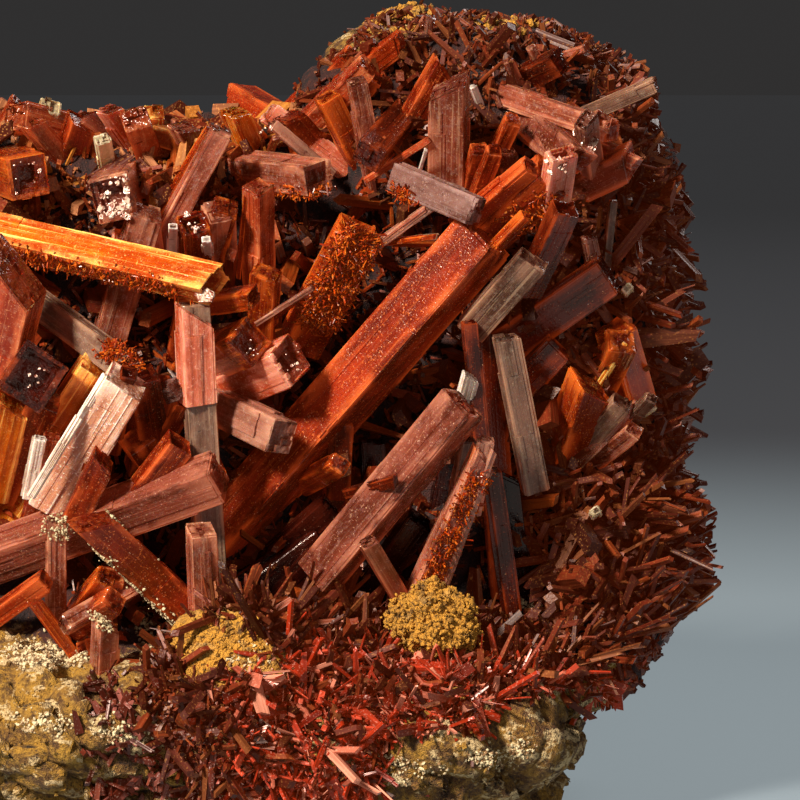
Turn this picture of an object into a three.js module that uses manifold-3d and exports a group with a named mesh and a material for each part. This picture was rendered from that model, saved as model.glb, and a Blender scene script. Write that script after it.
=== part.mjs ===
// A crocoite specimen: long four-sided prisms of lead chromate that stand on, against and
// across each other, and crusts of small crystals between them, on brown iron-oxide matrix.
// Millimetres, +Z up. The large crystals face -Y, and the flat patch at Z = 0 is the rest.
import * as THREE from 'three';
import { MeshSurfaceSampler } from 'three/addons/math/MeshSurfaceSampler.js';
import { mergeVertices } from 'three/addons/utils/BufferGeometryUtils.js';
import Module from 'manifold-3d';

const wasm = await Module();
wasm.setup();

// Driving dimensions
const LENGTH = 95; // along X
const DEPTH = 56.5; // along Y
const HEIGHT = 63.4; // along Z
const GAP = 0.3; // clearance that each piece keeps to its neighbours
const CRUST_DEPTH = 1.5; // thickness of a druse crust over the matrix
const ROOT_LENGTH = 6; // how far a prism runs on below its foot before the matrix cuts it
const MATRIX_RELIEF = 1.5; // height of the matrix's own bumps
const PIT_WIDTH = 0.62; // a hollow end's pit, as a share of the prism
const PIT_DEPTH = 0.55; // and its depth, as a share of the prism's width
const SHORTEST_EDGE = 0.01; // a joined solid's edges under this length are taken out

const BRICK = 0x963820;
const MAUVE = 0x7d4a40;
const AMBER = 0xd8812a;
const EMBER = 0xb84a1c;
const GREY = 0x7c6a5e;
const DARK_RED = 0x52190f;
const LIMONITE = 0x8a6428;

// Solids from three.js geometry and back, and a repeatable random row

function solidFrom(geometry) {
  const bare = geometry.clone();
  bare.deleteAttribute('normal');
  bare.deleteAttribute('uv');
  const merged = mergeVertices(bare);
  const vertProperties = new Float32Array(merged.attributes.position.array);
  const triVerts = new Uint32Array(merged.index.array);
  return new wasm.Manifold(new wasm.Mesh({ numProp: 3, vertProperties, triVerts }));
}

function geometryFrom(solid) {
  const { vertProperties, triVerts } = solid.getMesh();
  const geometry = new THREE.BufferGeometry();
  geometry.setAttribute('position', new THREE.BufferAttribute(vertProperties, 3));
  geometry.setIndex(new THREE.BufferAttribute(triVerts, 1));
  geometry.computeVertexNormals();
  return geometry;
}

function joined(solids) {
  return solids.reduce((whole, solid) => whole.add(solid));
}

function largestPiece(solid) {
  const pieces = solid.decompose();
  return pieces.reduce((best, piece) => (piece.volume() > best.volume() ? piece : best));
}

function randomRow(seed) {
  let state = seed;
  return (low = 0, high = 1) => {
    state = (state + 0x6d2b79f5) | 0;
    let mixed = Math.imul(state ^ (state >>> 15), 1 | state);
    mixed = (mixed + Math.imul(mixed ^ (mixed >>> 7), 61 | mixed)) ^ mixed;
    return low + ((high - low) * ((mixed ^ (mixed >>> 14)) >>> 0)) / 4294967296;
  };
}

function randomDirection(random) {
  const z = random(-1, 1);
  const angle = random(0, 2 * Math.PI);
  const ring = Math.sqrt(1 - z * z);
  return new THREE.Vector3(ring * Math.cos(angle), ring * Math.sin(angle), z);
}

// Matrix: a broad bench of limonite with a tower on its right, grown into one, ledges and
// knobs on its front, and the open pocket that the large crystals stand in. A mass is a stack
// of rounded levels, each given by its height, its middle (x, y) and its half widths.

const BENCH = {
  around: 20,
  levels: [
    [-2, -2, 0, 31, 18],
    [3, -2, 0, 37.5, 22.5],
    [8, -2, -0.5, 41, 25.5],
    [12.5, -2, 0, 39, 24],
    [14.5, -2, 2.5, 41.5, 19.5],
    [18, -2, 5, 40, 17.5],
    [22, -2, 6.5, 41.5, 16.5],
    [33, -3, 7, 40.5, 16.5],
    [40, -5, 7.5, 37, 16],
    [47, -8, 7.5, 31.5, 14.5],
    [51.5, -10, 7, 25, 11],
    [53, -10, 7, 15, 6],
  ],
};
const TOWER = {
  around: 16,
  levels: [
    [2, 26, 2, 9, 13],
    [10, 27, 1, 12.5, 16],
    [18, 29, 4, 15, 14.5],
    [26, 29.5, 6.5, 13.5, 15],
    [34, 29.5, 7, 14.5, 15],
    [42, 29, 7, 14, 15],
    [50, 28.5, 6.5, 14, 14],
    [56, 28, 5.5, 12.5, 12],
    [59.5, 27.5, 4.5, 9, 8.5],
    [61, 27.5, 4.5, 4.5, 4.5],
  ],
};
const KNOBS = [
  { middle: [-4, -18, 9], radii: [12, 9.5, 4.6] }, // front ledge
  { middle: [-30, -16, 12], radii: [9, 8, 4.5] }, // left ledge
  { middle: [24, -20, 16], radii: [4.2, 3.6, 3.2] }, // ochre knob
  { middle: [9.5, -19.5, 14], radii: [4.4, 3.4, 3] }, // ochre knob with clay
  { middle: [-14, 22, 22], radii: [10, 6, 9] }, // rear knob
  { middle: [16, 21, 40], radii: [8, 5, 7] }, // upper rear knob
];
const POCKET = { middle: [16, -21, 38], radii: [20, 17, 15] };
const CORNER = 0.8; // how square a level's outline is: 1 is an ellipse, lower is squarer

function relief(point) {
  const swell = Math.sin(point.x * 0.31 + 1.3) * Math.cos(point.y * 0.35 + point.z * 0.19);
  const knobs = Math.sin(point.x * 0.83 + point.z * 0.57) * Math.sin(point.y * 0.77 + 2.1);
  const chips = Math.sin(point.x * 2.1 + point.y * 3.7 + point.z * 2.9);
  return MATRIX_RELIEF * (0.6 * swell + 0.5 * knobs + 0.35 * chips);
}

// A rough closed body, its surface moved out by its own relief and then by the growth
function roughSolid(geometry, growth) {
  geometry.deleteAttribute('normal');
  geometry.deleteAttribute('uv');
  const body = mergeVertices(geometry, SHORTEST_EDGE);
  const positions = body.attributes.position;
  const point = new THREE.Vector3();
  for (const outward of [(at) => relief(at), () => growth]) {
    body.computeVertexNormals();
    const normals = body.attributes.normal.clone();
    for (let i = 0; i < positions.count; i += 1) {
      point.fromBufferAttribute(positions, i);
      const normal = new THREE.Vector3().fromBufferAttribute(normals, i);
      point.addScaledVector(normal, outward(point));
      positions.setXYZ(i, point.x, point.y, point.z);
    }
  }
  return solidFrom(body);
}

function massSolid({ around, levels }, growth) {
  const geometry = new THREE.CylinderGeometry(1, 1, levels.length - 1, around, levels.length - 1);
  geometry.translate(0, (levels.length - 1) / 2, 0).rotateX(Math.PI / 2);
  const positions = geometry.attributes.position;
  for (let i = 0; i < positions.count; i += 1) {
    const [height, x, y, halfX, halfY] = levels[Math.round(positions.getZ(i))];
    const across = positions.getX(i);
    const deep = positions.getY(i);
    positions.setX(i, x + halfX * Math.sign(across) * Math.abs(across) ** CORNER);
    positions.setY(i, y + halfY * Math.sign(deep) * Math.abs(deep) ** CORNER);
    positions.setZ(i, height);
  }
  return roughSolid(geometry, growth);
}

function knobSolid({ middle, radii }, growth) {
  const geometry = new THREE.IcosahedronGeometry(1, 1);
  geometry.scale(...radii).translate(...middle);
  return roughSolid(geometry, growth);
}

function box(from, to) {
  const size = new THREE.Vector3().subVectors(to, from);
  const middle = new THREE.Vector3().addVectors(to, from).multiplyScalar(0.5);
  const geometry = new THREE.BoxGeometry(size.x, size.y, size.z);
  return solidFrom(geometry.translate(middle.x, middle.y, middle.z));
}

const OUTER_BOX = box(
  new THREE.Vector3(-LENGTH / 2, -DEPTH / 2, 0),
  new THREE.Vector3(LENGTH / 2, DEPTH / 2, HEIGHT),
);

function matrixSolid(growth) {
  const masses = [BENCH, TOWER].map((mass) => massSolid(mass, growth));
  const knobs = KNOBS.map((knob) => knobSolid(knob, growth));
  const whole = joined([...masses, ...knobs]);
  return whole.subtract(knobSolid(POCKET, -growth)).intersect(OUTER_BOX);
}

const matrix = largestPiece(matrixSolid(0));
const matrixWithGap = matrixSolid(GAP);

// Large prisms. Each row gives where a crystal leaves the mass and where it ends, its width
// and thickness, its turn about its own length in degrees, how it ends and its colour.
// Where two meet, the first in the list is whole and the later one is cut back to it.

const PRISMS = [
  ['amber_bar', [-20.6, -5, 48.1], [8.6, -20, 42.3], 2.5, 2.2, -35, 'hollow', AMBER],
  ['great_diagonal', [8.6, -8.5, 22.5], [28.4, -15.5, 45.7], 3.7, 3.7, 62, 'square', BRICK],
  ['broad_diagonal', [17.7, -15.5, 22.1], [26.8, -20, 33.6], 2.6, 3, 62, 'square', MAUVE],
  ['left_column', [-9.5, -13, 33], [-6, -20, 44.5], 4.4, 3.6, -10, 'slant', BRICK],
  ['salmon_prism', [8.9, -13, 32.4], [13.4, -20, 31], 2.5, 2, 5, 'square', MAUVE],
  ['pale_prism', [-2.9, -16, 27.7], [2, -20.5, 35.3], 3.1, 2.6, 7, 'square', MAUVE],
  ['short_post', [7.4, -17.5, 18.5], [7.4, -20.5, 24.2], 1.95, 1.8, 18, 'square', MAUVE],
  ['ramp_prism', [5.1, -16, 18.3], [-1.1, -22, 25.5], 2.6, 2.4, 10, 'slant', BRICK],
  ['long_ledge', [-11.9, -12, 20], [8.7, -20, 28.1], 3, 2.8, 30, 'square', BRICK],
  ['tall_post', [7.9, -15, 18.9], [6.8, -18.5, 40.9], 2.2, 1.7, 12, 'square', GREY],
  ['smoky_hopper', [8, -9, 33.5], [14, -17, 36.5], 3, 2.8, 15, 'hollow', DARK_RED],
  ['dusty_hopper', [6.5, -8, 35.5], [11, -18, 38], 2.8, 2.5, 20, 'hollow', EMBER],
  ['rear_diagonal', [25.6, -8, 42.9], [33.5, -15, 50.3], 2.9, 2.6, 30, 'square', BRICK],
  ['druse_diagonal', [15.5, -8, 39.2], [19.1, -13, 46.1], 3, 2.8, 20, 'hollow', EMBER],
  ['olive_lath', [29, -15.5, 40.4], [32, -19, 44.1], 2.3, 1.2, 8, 'square', GREY],
  ['grey_leaner', [31.9, -12.5, 28.9], [30, -15.5, 38.2], 1.8, 1.3, 10, 'square', GREY],
  ['dark_post', [30, -9, 19], [28.5, -11, 39], 2, 1.9, 15, 'slant', DARK_RED],
  ['striped_slab', [32.2, -9.5, 38.5], [38, -12, 42.7], 2.9, 1.7, 12, 'square', DARK_RED],
  ['orange_block', [35.5, -9, 30.3], [36.8, -13, 35], 3.1, 2.6, 35, 'slant', EMBER],
  ['flank_prism', [37, -4, 32], [39, -11, 37.5], 2.2, 2, 20, 'square', EMBER],
  ['crusted_spar', [24, -15, 19.5], [28.5, -19, 30], 1.8, 1.6, 20, 'slant', MAUVE],
  ['wide_hopper', [-7, -7, 34.5], [-5, -20, 35.5], 3.8, 4, 30, 'hollow', DARK_RED],
  ['tawny_prism', [-7, -10, 26.5], [-0.5, -16, 36], 2.6, 2.4, 10, 'square', AMBER],
  ['grey_lath', [-6.2, -10, 40.7], [1.8, -17.5, 35.9], 1.95, 1.4, 8, 'square', GREY],
  ['pink_column', [0, -9, 38.5], [3, -13.5, 47.5], 2.4, 2.2, 15, 'square', MAUVE],
  ['crossing_blade', [23.8, -14, 49.3], [27.8, -18, 47.7], 1.9, 1.2, 8, 'square', MAUVE],
  ['upright_spear', [25.8, -9.5, 50.9], [25.8, -15, 57.6], 2.7, 2.3, 168, 'slant', MAUVE],
  ['brow_prism', [30, -6, 56], [38, -13, 53.5], 1.6, 1.5, 20, 'square', EMBER],
  ['glassy_prism', [32, -8, 54.5], [35.5, -17, 51], 2.3, 2, 25, 'slant', EMBER],
  ['corner_wedge', [35.5, -6, 49], [40, -12, 51.5], 2.2, 1.8, 20, 'slant', EMBER],
  ['crown_prism', [21.9, -7, 54], [19.7, -13, 51.6], 2.2, 1.9, 15, 'square', BRICK],
  ['ridge_prism', [14, 4, 55], [18.5, -2, 59], 2, 1.8, 15, 'square', EMBER],
  ['ruby_post', [11.2, -7, 42.3], [11.4, -12, 49.3], 1.75, 1.75, -42, 'square', BRICK],
  ['level_prism', [9, -2, 50.5], [16, -13, 50], 2.3, 2.3, 20, 'hollow', MAUVE],
  ['leaning_prism', [4, -7, 46.5], [8, -10, 53], 1.8, 1.6, 20, 'square', EMBER],
  ['square_hopper', [0.5, 2, 49.5], [0.5, -14, 48.5], 3, 3.4, 15, 'hollow', MAUVE],
  ['left_hopper', [-11.5, 4, 51], [-6, -12, 50], 3.2, 3, 20, 'hollow', EMBER],
  ['saddle_prism', [10.5, 6, 55], [16, -4, 52], 2.6, 2.4, 20, 'square', EMBER],
  ['skyline_prism', [-2.5, 0, 53], [-7.5, -7, 54.5], 2.2, 2, 20, 'square', BRICK],
  ['shade_prism', [8.5, -13.5, 17], [16, -12, 22.5], 2.2, 2, 20, 'square', DARK_RED],
  ['back_post', [17, -8, 21.5], [17.5, -12, 31.5], 1.8, 1.7, 15, 'square', DARK_RED],
  ['slate_post', [-3.8, -16, 17.9], [-3.4, -19.5, 24.8], 1.4, 1.1, 8, 'square', MAUVE],
  ['low_prism', [-3.5, -15, 15.5], [1, -21, 19], 1.8, 1.6, 20, 'square', BRICK],
  ['glint_stub', [0, -20, 13], [0.5, -23, 18], 1.6, 1.6, 30, 'slant', MAUVE],
  // the left-hand end
  ['left_beam', [-16, -4, 29], [-36, -19, 41], 4, 3.4, 20, 'square', BRICK],
  ['left_spar', [-24, -8, 20], [-35, -23, 29], 3, 2.7, 20, 'slant', MAUVE],
  ['left_wedge', [-17, -10, 21], [-23, -22, 34], 3.2, 2.8, 15, 'slant', BRICK],
  ['left_cross', [-39, -4, 24], [-20, -21, 25], 2.8, 2.5, -25, 'hollow', AMBER],
  ['left_tower', [-29, 0, 40], [-35, -8, 56], 2.8, 2.6, 20, 'square', EMBER],
  ['left_outer', [-33, 0, 30], [-47.3, -6, 37], 2.6, 2.4, 20, 'square', BRICK],
  // the back
  ['rear_beam', [-4, 14, 36], [13, 28, 46], 3.2, 2.8, 20, 'square', BRICK],
  ['rear_tower', [-20, 16, 38], [-26, 26, 53], 2.8, 2.5, 20, 'slant', MAUVE],
];

function prismSolid([, foot, tip, width, thickness, turn, end], growth) {
  const base = new THREE.Vector3(...foot);
  const along = new THREE.Vector3(...tip).sub(base);
  const length = along.length();
  along.normalize();
  const side = new THREE.Vector3().crossVectors(along, new THREE.Vector3(0, 1, 0)).normalize();
  const front = new THREE.Vector3().crossVectors(along, side);
  const place = new THREE.Matrix4().makeBasis(side, front, along).setPosition(base);
  place.multiply(new THREE.Matrix4().makeRotationZ(THREE.MathUtils.degToRad(turn)));

  const wide = width + 2 * growth;
  const thick = thickness + 2 * growth;
  const slope = end === 'slant' ? 0.75 : 0.08;
  const body = new THREE.BoxGeometry(wide, thick, 1);
  const positions = body.attributes.position;
  for (let i = 0; i < positions.count; i += 1) {
    const slantedEnd = length + growth + slope * positions.getX(i) - slope * 0.5 * width;
    positions.setZ(i, positions.getZ(i) > 0 ? slantedEnd : -ROOT_LENGTH);
  }
  const prism = solidFrom(body);
  if (end !== 'hollow' || growth > 0) {
    return solidMoved(prism, place);
  }
  const pit = new THREE.CylinderGeometry(PIT_WIDTH * width * Math.SQRT1_2, 0, 1, 4, 1);
  pit.rotateX(Math.PI / 2).rotateZ(Math.PI / 4);
  pit.scale(1, thickness / width, 2 * PIT_DEPTH * width);
  return solidMoved(prism.subtract(solidFrom(pit.translate(0, 0, length))), place);
}

function solidMoved(solid, place) {
  return solidFrom(geometryFrom(solid).applyMatrix4(place));
}

const prisms = [];
for (const row of PRISMS) {
  let solid = prismSolid(row, 0).intersect(OUTER_BOX).subtract(matrixWithGap);
  for (const earlier of prisms) {
    solid = solid.subtract(earlier.withGap);
  }
  prisms.push({
    name: row[0],
    colour: row[7],
    solid: largestPiece(solid),
    withGap: prismSolid(row, GAP),
  });
}

// Druse: crusts of small crystals over the matrix. Each is the layer over one stretch of it,
// with the crystals that stand out of that layer grown into it, parted from the large prisms.

const DRUSES = [
  {
    name: 'right_flank_druse', colour: DARK_RED, seed: 11, count: 42, lean: 1,
    middle: [48, 0, 34], radii: [18, 29, 26], length: [3, 5.5], width: [0.9, 1.7],
  },
  {
    name: 'crown_druse', colour: EMBER, seed: 23, count: 17, lean: 0.9,
    middle: [28, 2, 63], radii: [19, 24, 13], length: [3, 5], width: [1.2, 2.2],
  },
  {
    name: 'foot_druse', colour: BRICK, seed: 37, count: 25, lean: 1.3,
    middle: [24, -22, 12], radii: [22, 13, 9.5], length: [3, 6], width: [0.9, 1.9],
  },
  {
    name: 'saddle_druse', colour: EMBER, seed: 53, count: 16, lean: 1,
    middle: [-13, 0, 53], radii: [29, 19, 9], length: [3, 7], width: [1.4, 2.8],
  },
  {
    name: 'left_druse', colour: BRICK, seed: 61, count: 20, lean: 1,
    middle: [-32, -14, 29], radii: [22, 17, 15], length: [4, 9], width: [1.6, 3],
  },
  {
    name: 'rear_druse', colour: EMBER, seed: 79, count: 10, lean: 1,
    middle: [2, 28, 38], radii: [14, 14, 10], length: [3, 6], width: [1.2, 2.4],
  },
];

function insideStretch({ middle, radii }, point, margin) {
  const offset = point.clone().sub(new THREE.Vector3(...middle));
  return offset.divide(new THREE.Vector3(...radii).addScalar(margin)).length() < 1;
}

// A place on the matrix chosen evenly over its faces, and the way out of it
const matrixFaces = geometryFrom(matrix).toNonIndexed();
const sampler = new MeshSurfaceSampler(new THREE.Mesh(matrixFaces)).build();

function groundPoint(random) {
  const point = new THREE.Vector3();
  const outward = new THREE.Vector3();
  sampler.setRandomGenerator(random).sample(point, outward);
  return { point, outward };
}

function smallCrystal(druse, random) {
  const spot = groundPoint(random);
  const heading = spot.outward.clone().addScaledVector(randomDirection(random), druse.lean);
  const turn = new THREE.Quaternion().setFromUnitVectors(
    new THREE.Vector3(0, 0, 1),
    heading.normalize(),
  );
  const spin = random(0, Math.PI);
  const length = random(...druse.length);
  const radius = random(...druse.width) / 2;
  const root = spot.point.addScaledVector(spot.outward, GAP);
  const solid = (growth) => {
    const section = new THREE.Shape();
    for (let corner = 0; corner < 3; corner += 1) {
      const angle = spin + (corner * 2 * Math.PI) / 3;
      const reach = radius + 2 * growth;
      section[corner ? 'lineTo' : 'moveTo'](reach * Math.cos(angle), reach * Math.sin(angle));
    }
    const depth = length + growth;
    const body = new THREE.ExtrudeGeometry(section, { depth, bevelEnabled: false });
    return solidFrom(body.applyQuaternion(turn).translate(root.x, root.y, root.z));
  };
  return { root, solid };
}

const crustLayer = matrixSolid(CRUST_DEPTH);
const druses = [];
for (const druse of DRUSES) {
  const random = randomRow(druse.seed);
  const crystals = [];
  while (crystals.length < druse.count) {
    const crystal = smallCrystal(druse, random);
    if (insideStretch(druse, crystal.root, -1.5)) {
      crystals.push(crystal.solid);
    }
  }
  const crust = crustLayer.intersect(knobSolid(druse, 0));
  let solid = joined([crust, ...crystals.map((crystal) => crystal(0))]);
  solid = solid.intersect(OUTER_BOX).subtract(matrixWithGap);
  for (const earlier of [...prisms, ...druses]) {
    solid = solid.subtract(earlier.withGap);
  }
  druses.push({
    name: druse.name,
    colour: druse.colour,
    solid: largestPiece(solid),
    withGap: joined([knobSolid(druse, GAP), ...crystals.map((crystal) => crystal(GAP))]),
  });
}

// The scene graph

const specimen = new THREE.Group();

function addMesh(name, solid, colour, roughness) {
  const material = new THREE.MeshStandardMaterial({ color: colour, roughness, metalness: 0 });
  const mesh = new THREE.Mesh(geometryFrom(largestPiece(solid.simplify(SHORTEST_EDGE))), material);
  mesh.name = name;
  specimen.add(mesh);
}

addMesh('matrix', matrix, LIMONITE, 0.9);
for (const { name, solid, colour } of druses) {
  addMesh(name, solid, colour, 0.45);
}
for (const { name, solid, colour } of prisms) {
  addMesh(name, solid, colour, 0.3);
}

export default specimen;
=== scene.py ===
"""A crocoite specimen dressed for the eye: striated orange-red prisms, thickets of fine crystals
and earthy limonite matrix, in metres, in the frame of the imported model."""

import math

import bpy
import numpy as np
from mathutils import Matrix, Vector


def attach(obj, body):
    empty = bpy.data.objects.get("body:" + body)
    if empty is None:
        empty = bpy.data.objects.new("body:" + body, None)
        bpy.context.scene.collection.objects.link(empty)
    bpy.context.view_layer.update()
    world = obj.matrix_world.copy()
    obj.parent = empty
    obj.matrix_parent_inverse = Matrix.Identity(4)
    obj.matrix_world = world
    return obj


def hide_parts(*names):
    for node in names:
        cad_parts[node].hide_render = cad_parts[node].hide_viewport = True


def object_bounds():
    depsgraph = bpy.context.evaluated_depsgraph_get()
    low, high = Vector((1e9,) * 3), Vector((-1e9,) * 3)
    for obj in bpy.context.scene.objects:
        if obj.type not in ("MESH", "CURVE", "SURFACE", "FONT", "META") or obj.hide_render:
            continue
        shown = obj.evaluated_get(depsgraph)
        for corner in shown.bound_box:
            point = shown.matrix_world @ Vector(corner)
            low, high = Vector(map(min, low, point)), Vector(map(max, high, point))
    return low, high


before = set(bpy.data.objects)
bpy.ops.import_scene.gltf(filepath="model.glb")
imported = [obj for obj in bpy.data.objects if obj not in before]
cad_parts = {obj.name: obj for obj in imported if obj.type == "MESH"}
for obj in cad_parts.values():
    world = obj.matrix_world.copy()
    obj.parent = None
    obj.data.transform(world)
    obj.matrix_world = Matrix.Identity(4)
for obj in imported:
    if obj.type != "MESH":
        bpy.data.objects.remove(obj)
cad_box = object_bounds()
MM = 0.001

# ---------------------------------------------------------------------------------------
# Limonite matrix. One lump of brown iron oxide, earthy and knobbly, with ochre ledges and
# films of pale clay low down; the crystals grew on it, and fine red crust covers most of it.


class Value:
    """A shader socket. Arithmetic on it adds the Math nodes that it needs."""

    def __init__(self, finish, socket):
        self.finish = finish
        self.socket = socket

    def math(self, operation, *others):
        return self.finish.node("ShaderNodeMath", {"operation": operation}, [self, *others])

    def __add__(self, other):
        return self.math("ADD", other)

    __radd__ = __add__

    def __mul__(self, other):
        return self.math("MULTIPLY", other)

    __rmul__ = __mul__

    def __sub__(self, other):
        return self.math("SUBTRACT", other)

    def __rsub__(self, other):
        return self.finish.node("ShaderNodeMath", {"operation": "SUBTRACT"}, [other, self])

    def between(self, low, high):
        """0 below low, 1 above high and a smooth rise from one to the other."""
        settings = {"interpolation_type": "SMOOTHSTEP"}
        return self.finish.node("ShaderNodeMapRange", settings, [self, low, high])

    def scaled(self, factors):
        """This vector, each part times its own factor."""
        settings = {"operation": "MULTIPLY"}
        return self.finish.node("ShaderNodeVectorMath", settings, [self, factors])


class Finish:
    """A procedural material: a Principled shader and the nodes that feed it."""

    def __init__(self, name, fixed):
        self.material = bpy.data.materials.new(name)
        self.material.use_nodes = True
        self.material.cycles.emission_sampling = "NONE"  # too faint a glow to light anything
        self.tree = self.material.node_tree
        self.shader = self.tree.nodes["Principled BSDF"]
        for socket, value in fixed.items():
            self.shader.inputs[socket].default_value = value

    def node(self, kind, settings, inputs, output=0):
        """A node of this kind. Its settings are set first, and then its sockets in order."""
        made = self.tree.nodes.new(kind)
        for name, value in settings.items():
            setattr(made, name, value)
        named = inputs.items() if isinstance(inputs, dict) else enumerate(inputs)
        for key, value in named:
            self.plug(made.inputs[key], value)
        return Value(self, made.outputs[output])

    def plug(self, socket, value):
        if isinstance(value, Value):
            self.tree.links.new(value.socket, socket)
        else:
            socket.default_value = value

    def mix(self, share, below, above):
        """The first colour, with the second over it by its share."""
        made = self.tree.nodes.new("ShaderNodeMix")
        made.data_type = "RGBA"
        for index, value in ((0, share), (6, below), (7, above)):
            self.plug(made.inputs[index], value)
        return Value(self, made.outputs[2])

    def noise(self, where, scale, detail=3.0, roughness=0.5):
        sockets = {"Vector": where, "Scale": scale, "Detail": detail, "Roughness": roughness}
        return self.node("ShaderNodeTexNoise", {}, sockets)

    def cells(self, where, scale, feature="F1", output=0):
        sockets = {"Vector": where, "Scale": scale}
        return self.node("ShaderNodeTexVoronoi", {"feature": feature}, sockets, output)

    def attribute(self, name, output):
        settings = {"attribute_name": name}
        return self.node("ShaderNodeAttribute", settings, [], output)

    def place(self):
        return self.node("ShaderNodeTexCoord", {}, [], "Object").scaled((1000, 1000, 1000))

    def bump(self, height, distance, strength=1.0, under=None):
        sockets = {"Height": height, "Distance": distance, "Strength": strength}
        if under is not None:
            sockets["Normal"] = under
        return self.node("ShaderNodeBump", {}, sockets)

    def wear(self, sockets):
        for name, value in sockets.items():
            self.plug(self.shader.inputs[name], value)
        return self.material


def paint(hexcode):
    """A screen colour such as 0xB5651D as the linear colour that a shader takes."""
    parts = [((hexcode >> shift) & 255) / 255 for shift in (16, 8, 0)]
    linear = [p / 12.92 if p <= 0.04045 else ((p + 0.055) / 1.055) ** 2.4 for p in parts]
    return (*linear, 1.0)


def only(thing):
    """Selects this object and no other."""
    bpy.ops.object.select_all(action="DESELECT")
    thing.select_set(True)
    bpy.context.view_layer.objects.active = thing


def finish_with(thing, kind, **settings):
    """Adds a modifier of this kind and applies it."""
    modifier = thing.modifiers.new(kind, kind)
    for name, value in settings.items():
        setattr(modifier, name, value)
    only(thing)
    bpy.ops.object.modifier_apply(modifier=modifier.name)


def read(parts, name, width=3):
    """One value of each vertex, edge or face, as an array."""
    values = np.empty(len(parts) * width)
    parts.foreach_get(name, values)
    return values.reshape(-1, width)


def write_attribute(mesh, name, values, domain="POINT"):
    """A value or a vector for each vertex or face, for a material to read."""
    vector = values.ndim == 2
    made = mesh.attributes.new(name, "FLOAT_VECTOR" if vector else "FLOAT", domain)
    made.data.foreach_set("vector" if vector else "value", values.astype(np.float32).ravel())


def weigh(thing, name, weights):
    """A vertex group with a weight for each vertex, in 20 even steps."""
    group = thing.vertex_groups.new(name=name)
    steps = np.rint(weights * 20).astype(int)
    for step in range(1, 21):
        group.add(np.nonzero(steps == step)[0].tolist(), step / 20, "REPLACE")
    return name


def smooth_step(values, low, high):
    share = np.clip((values - low) / (high - low), 0, 1)
    return share * share * (3 - 2 * share)


# The stretches of matrix that fine crystals cover, by middle and half widths in mm
STRETCHES = {
    "right_flank": ([48, 0, 33], [20, 31, 29]),
    "crown": ([28, 2, 63], [19, 24, 13]),
    "foot": ([24, -22, 12], [22, 13, 9.5]),
    "saddle": ([-13, 0, 53], [29, 19, 9]),
    "left": ([-32, -14, 29], [22, 17, 15]),
    "rear": ([2, 28, 38], [14, 14, 10]),
    "pocket": ([12, -14, 38], [34, 12, 24]),
}


def inside(points, stretch):
    """How far into a stretch points in mm lie: 1 at its middle and 0 at its edge."""
    middle, radii = STRETCHES[stretch]
    return 1 - np.linalg.norm((points - middle) / radii, axis=1)


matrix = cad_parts["matrix"].copy()
matrix.data = matrix.data.copy()
matrix.name = "limonite_matrix"
bpy.context.scene.collection.objects.link(matrix)
only(matrix)
bpy.ops.object.mode_set(mode="EDIT")
bpy.ops.mesh.select_all(action="SELECT")
bpy.ops.mesh.remove_doubles(threshold=1e-6)
bpy.ops.object.mode_set(mode="OBJECT")
matrix.data.remesh_voxel_size = 0.62 * MM
bpy.ops.object.voxel_remesh()
finish_with(matrix, "SMOOTH", factor=0.5, iterations=8)

rock_at = read(matrix.data.vertices, "co") / MM
undercut = 0.6 * (1 - smooth_step(rock_at[:, 2], 9, 13)) * smooth_step(rock_at[:, 2], 0, 2)
rock_at[:, 0] -= undercut * np.maximum(rock_at[:, 0] - 33, 0)
matrix.data.vertices.foreach_set("co", (rock_at * MM).ravel())
free = smooth_step(rock_at[:, 2], 0.4, 2.5)
crusted = np.max([inside(rock_at, name) for name in STRETCHES if name != "pocket"], axis=0)
crusted = smooth_step(crusted, 0.0, 0.12)
lumps = bpy.data.textures.new("lumps", "CLOUDS")
lumps.noise_scale = 5.5 * MM
lumps.noise_depth = 3
clods = bpy.data.textures.new("clods", "VORONOI")
clods.noise_scale = 2.1 * MM
grit = bpy.data.textures.new("grit", "CLOUDS")
grit.noise_scale = 1.1 * MM
grit.noise_depth = 4
weigh(matrix, "free", free)
weigh(matrix, "crusted", crusted * free)
hollows = bpy.data.textures.new("hollows", "CLOUDS")
hollows.noise_scale = 13 * MM
hollows.noise_depth = 2
weigh(matrix, "behind", free * smooth_step(rock_at[:, 1], 5, 14))
low = free * (1 - smooth_step(rock_at[:, 2], 12, 18))
weigh(matrix, "low", low)
wave = 0.9 * np.sin(0.35 * rock_at[:, 0] + 0.2 * rock_at[:, 1])
wave += 0.5 * np.sin(1.1 * rock_at[:, 0] - 0.8 * rock_at[:, 1])
ledge = ((rock_at[:, 2] + 0.4 * rock_at[:, 0] + wave) / 3.1) % 1
weigh(matrix, "ledges", low * ledge)
for texture, strength, group in (
    (lumps, 2.2, "free"),
    (clods, -0.5, "free"),
    (lumps, 2.0, "low"),
    (grit, 1.0, "free"),
):
    finish_with(
        matrix, "DISPLACE", texture=texture, texture_coords="LOCAL", mid_level=0.5,
        strength=strength * MM, vertex_group=group,
    )
finish_with(
    matrix, "DISPLACE", texture=hollows, texture_coords="LOCAL", mid_level=0.25,
    strength=-6.5 * MM, vertex_group="behind",
)
knob = 1 - smooth_step(np.linalg.norm(rock_at - [9.2, -22, 15], axis=1), 1.5, 5)
weigh(matrix, "knob", knob)
for group, strength in (("crusted", 0.9), ("ledges", 1.5), ("knob", 1.2)):
    finish_with(matrix, "DISPLACE", mid_level=0, strength=strength * MM, vertex_group=group)
rock_at = read(matrix.data.vertices, "co") / MM
bare = 1 - smooth_step(rock_at[:, 2] + 0.12 * rock_at[:, 0], 11, 19)
bare = np.maximum(bare, smooth_step(rock_at[:, 1], 12, 20) * (1 - crusted))
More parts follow.
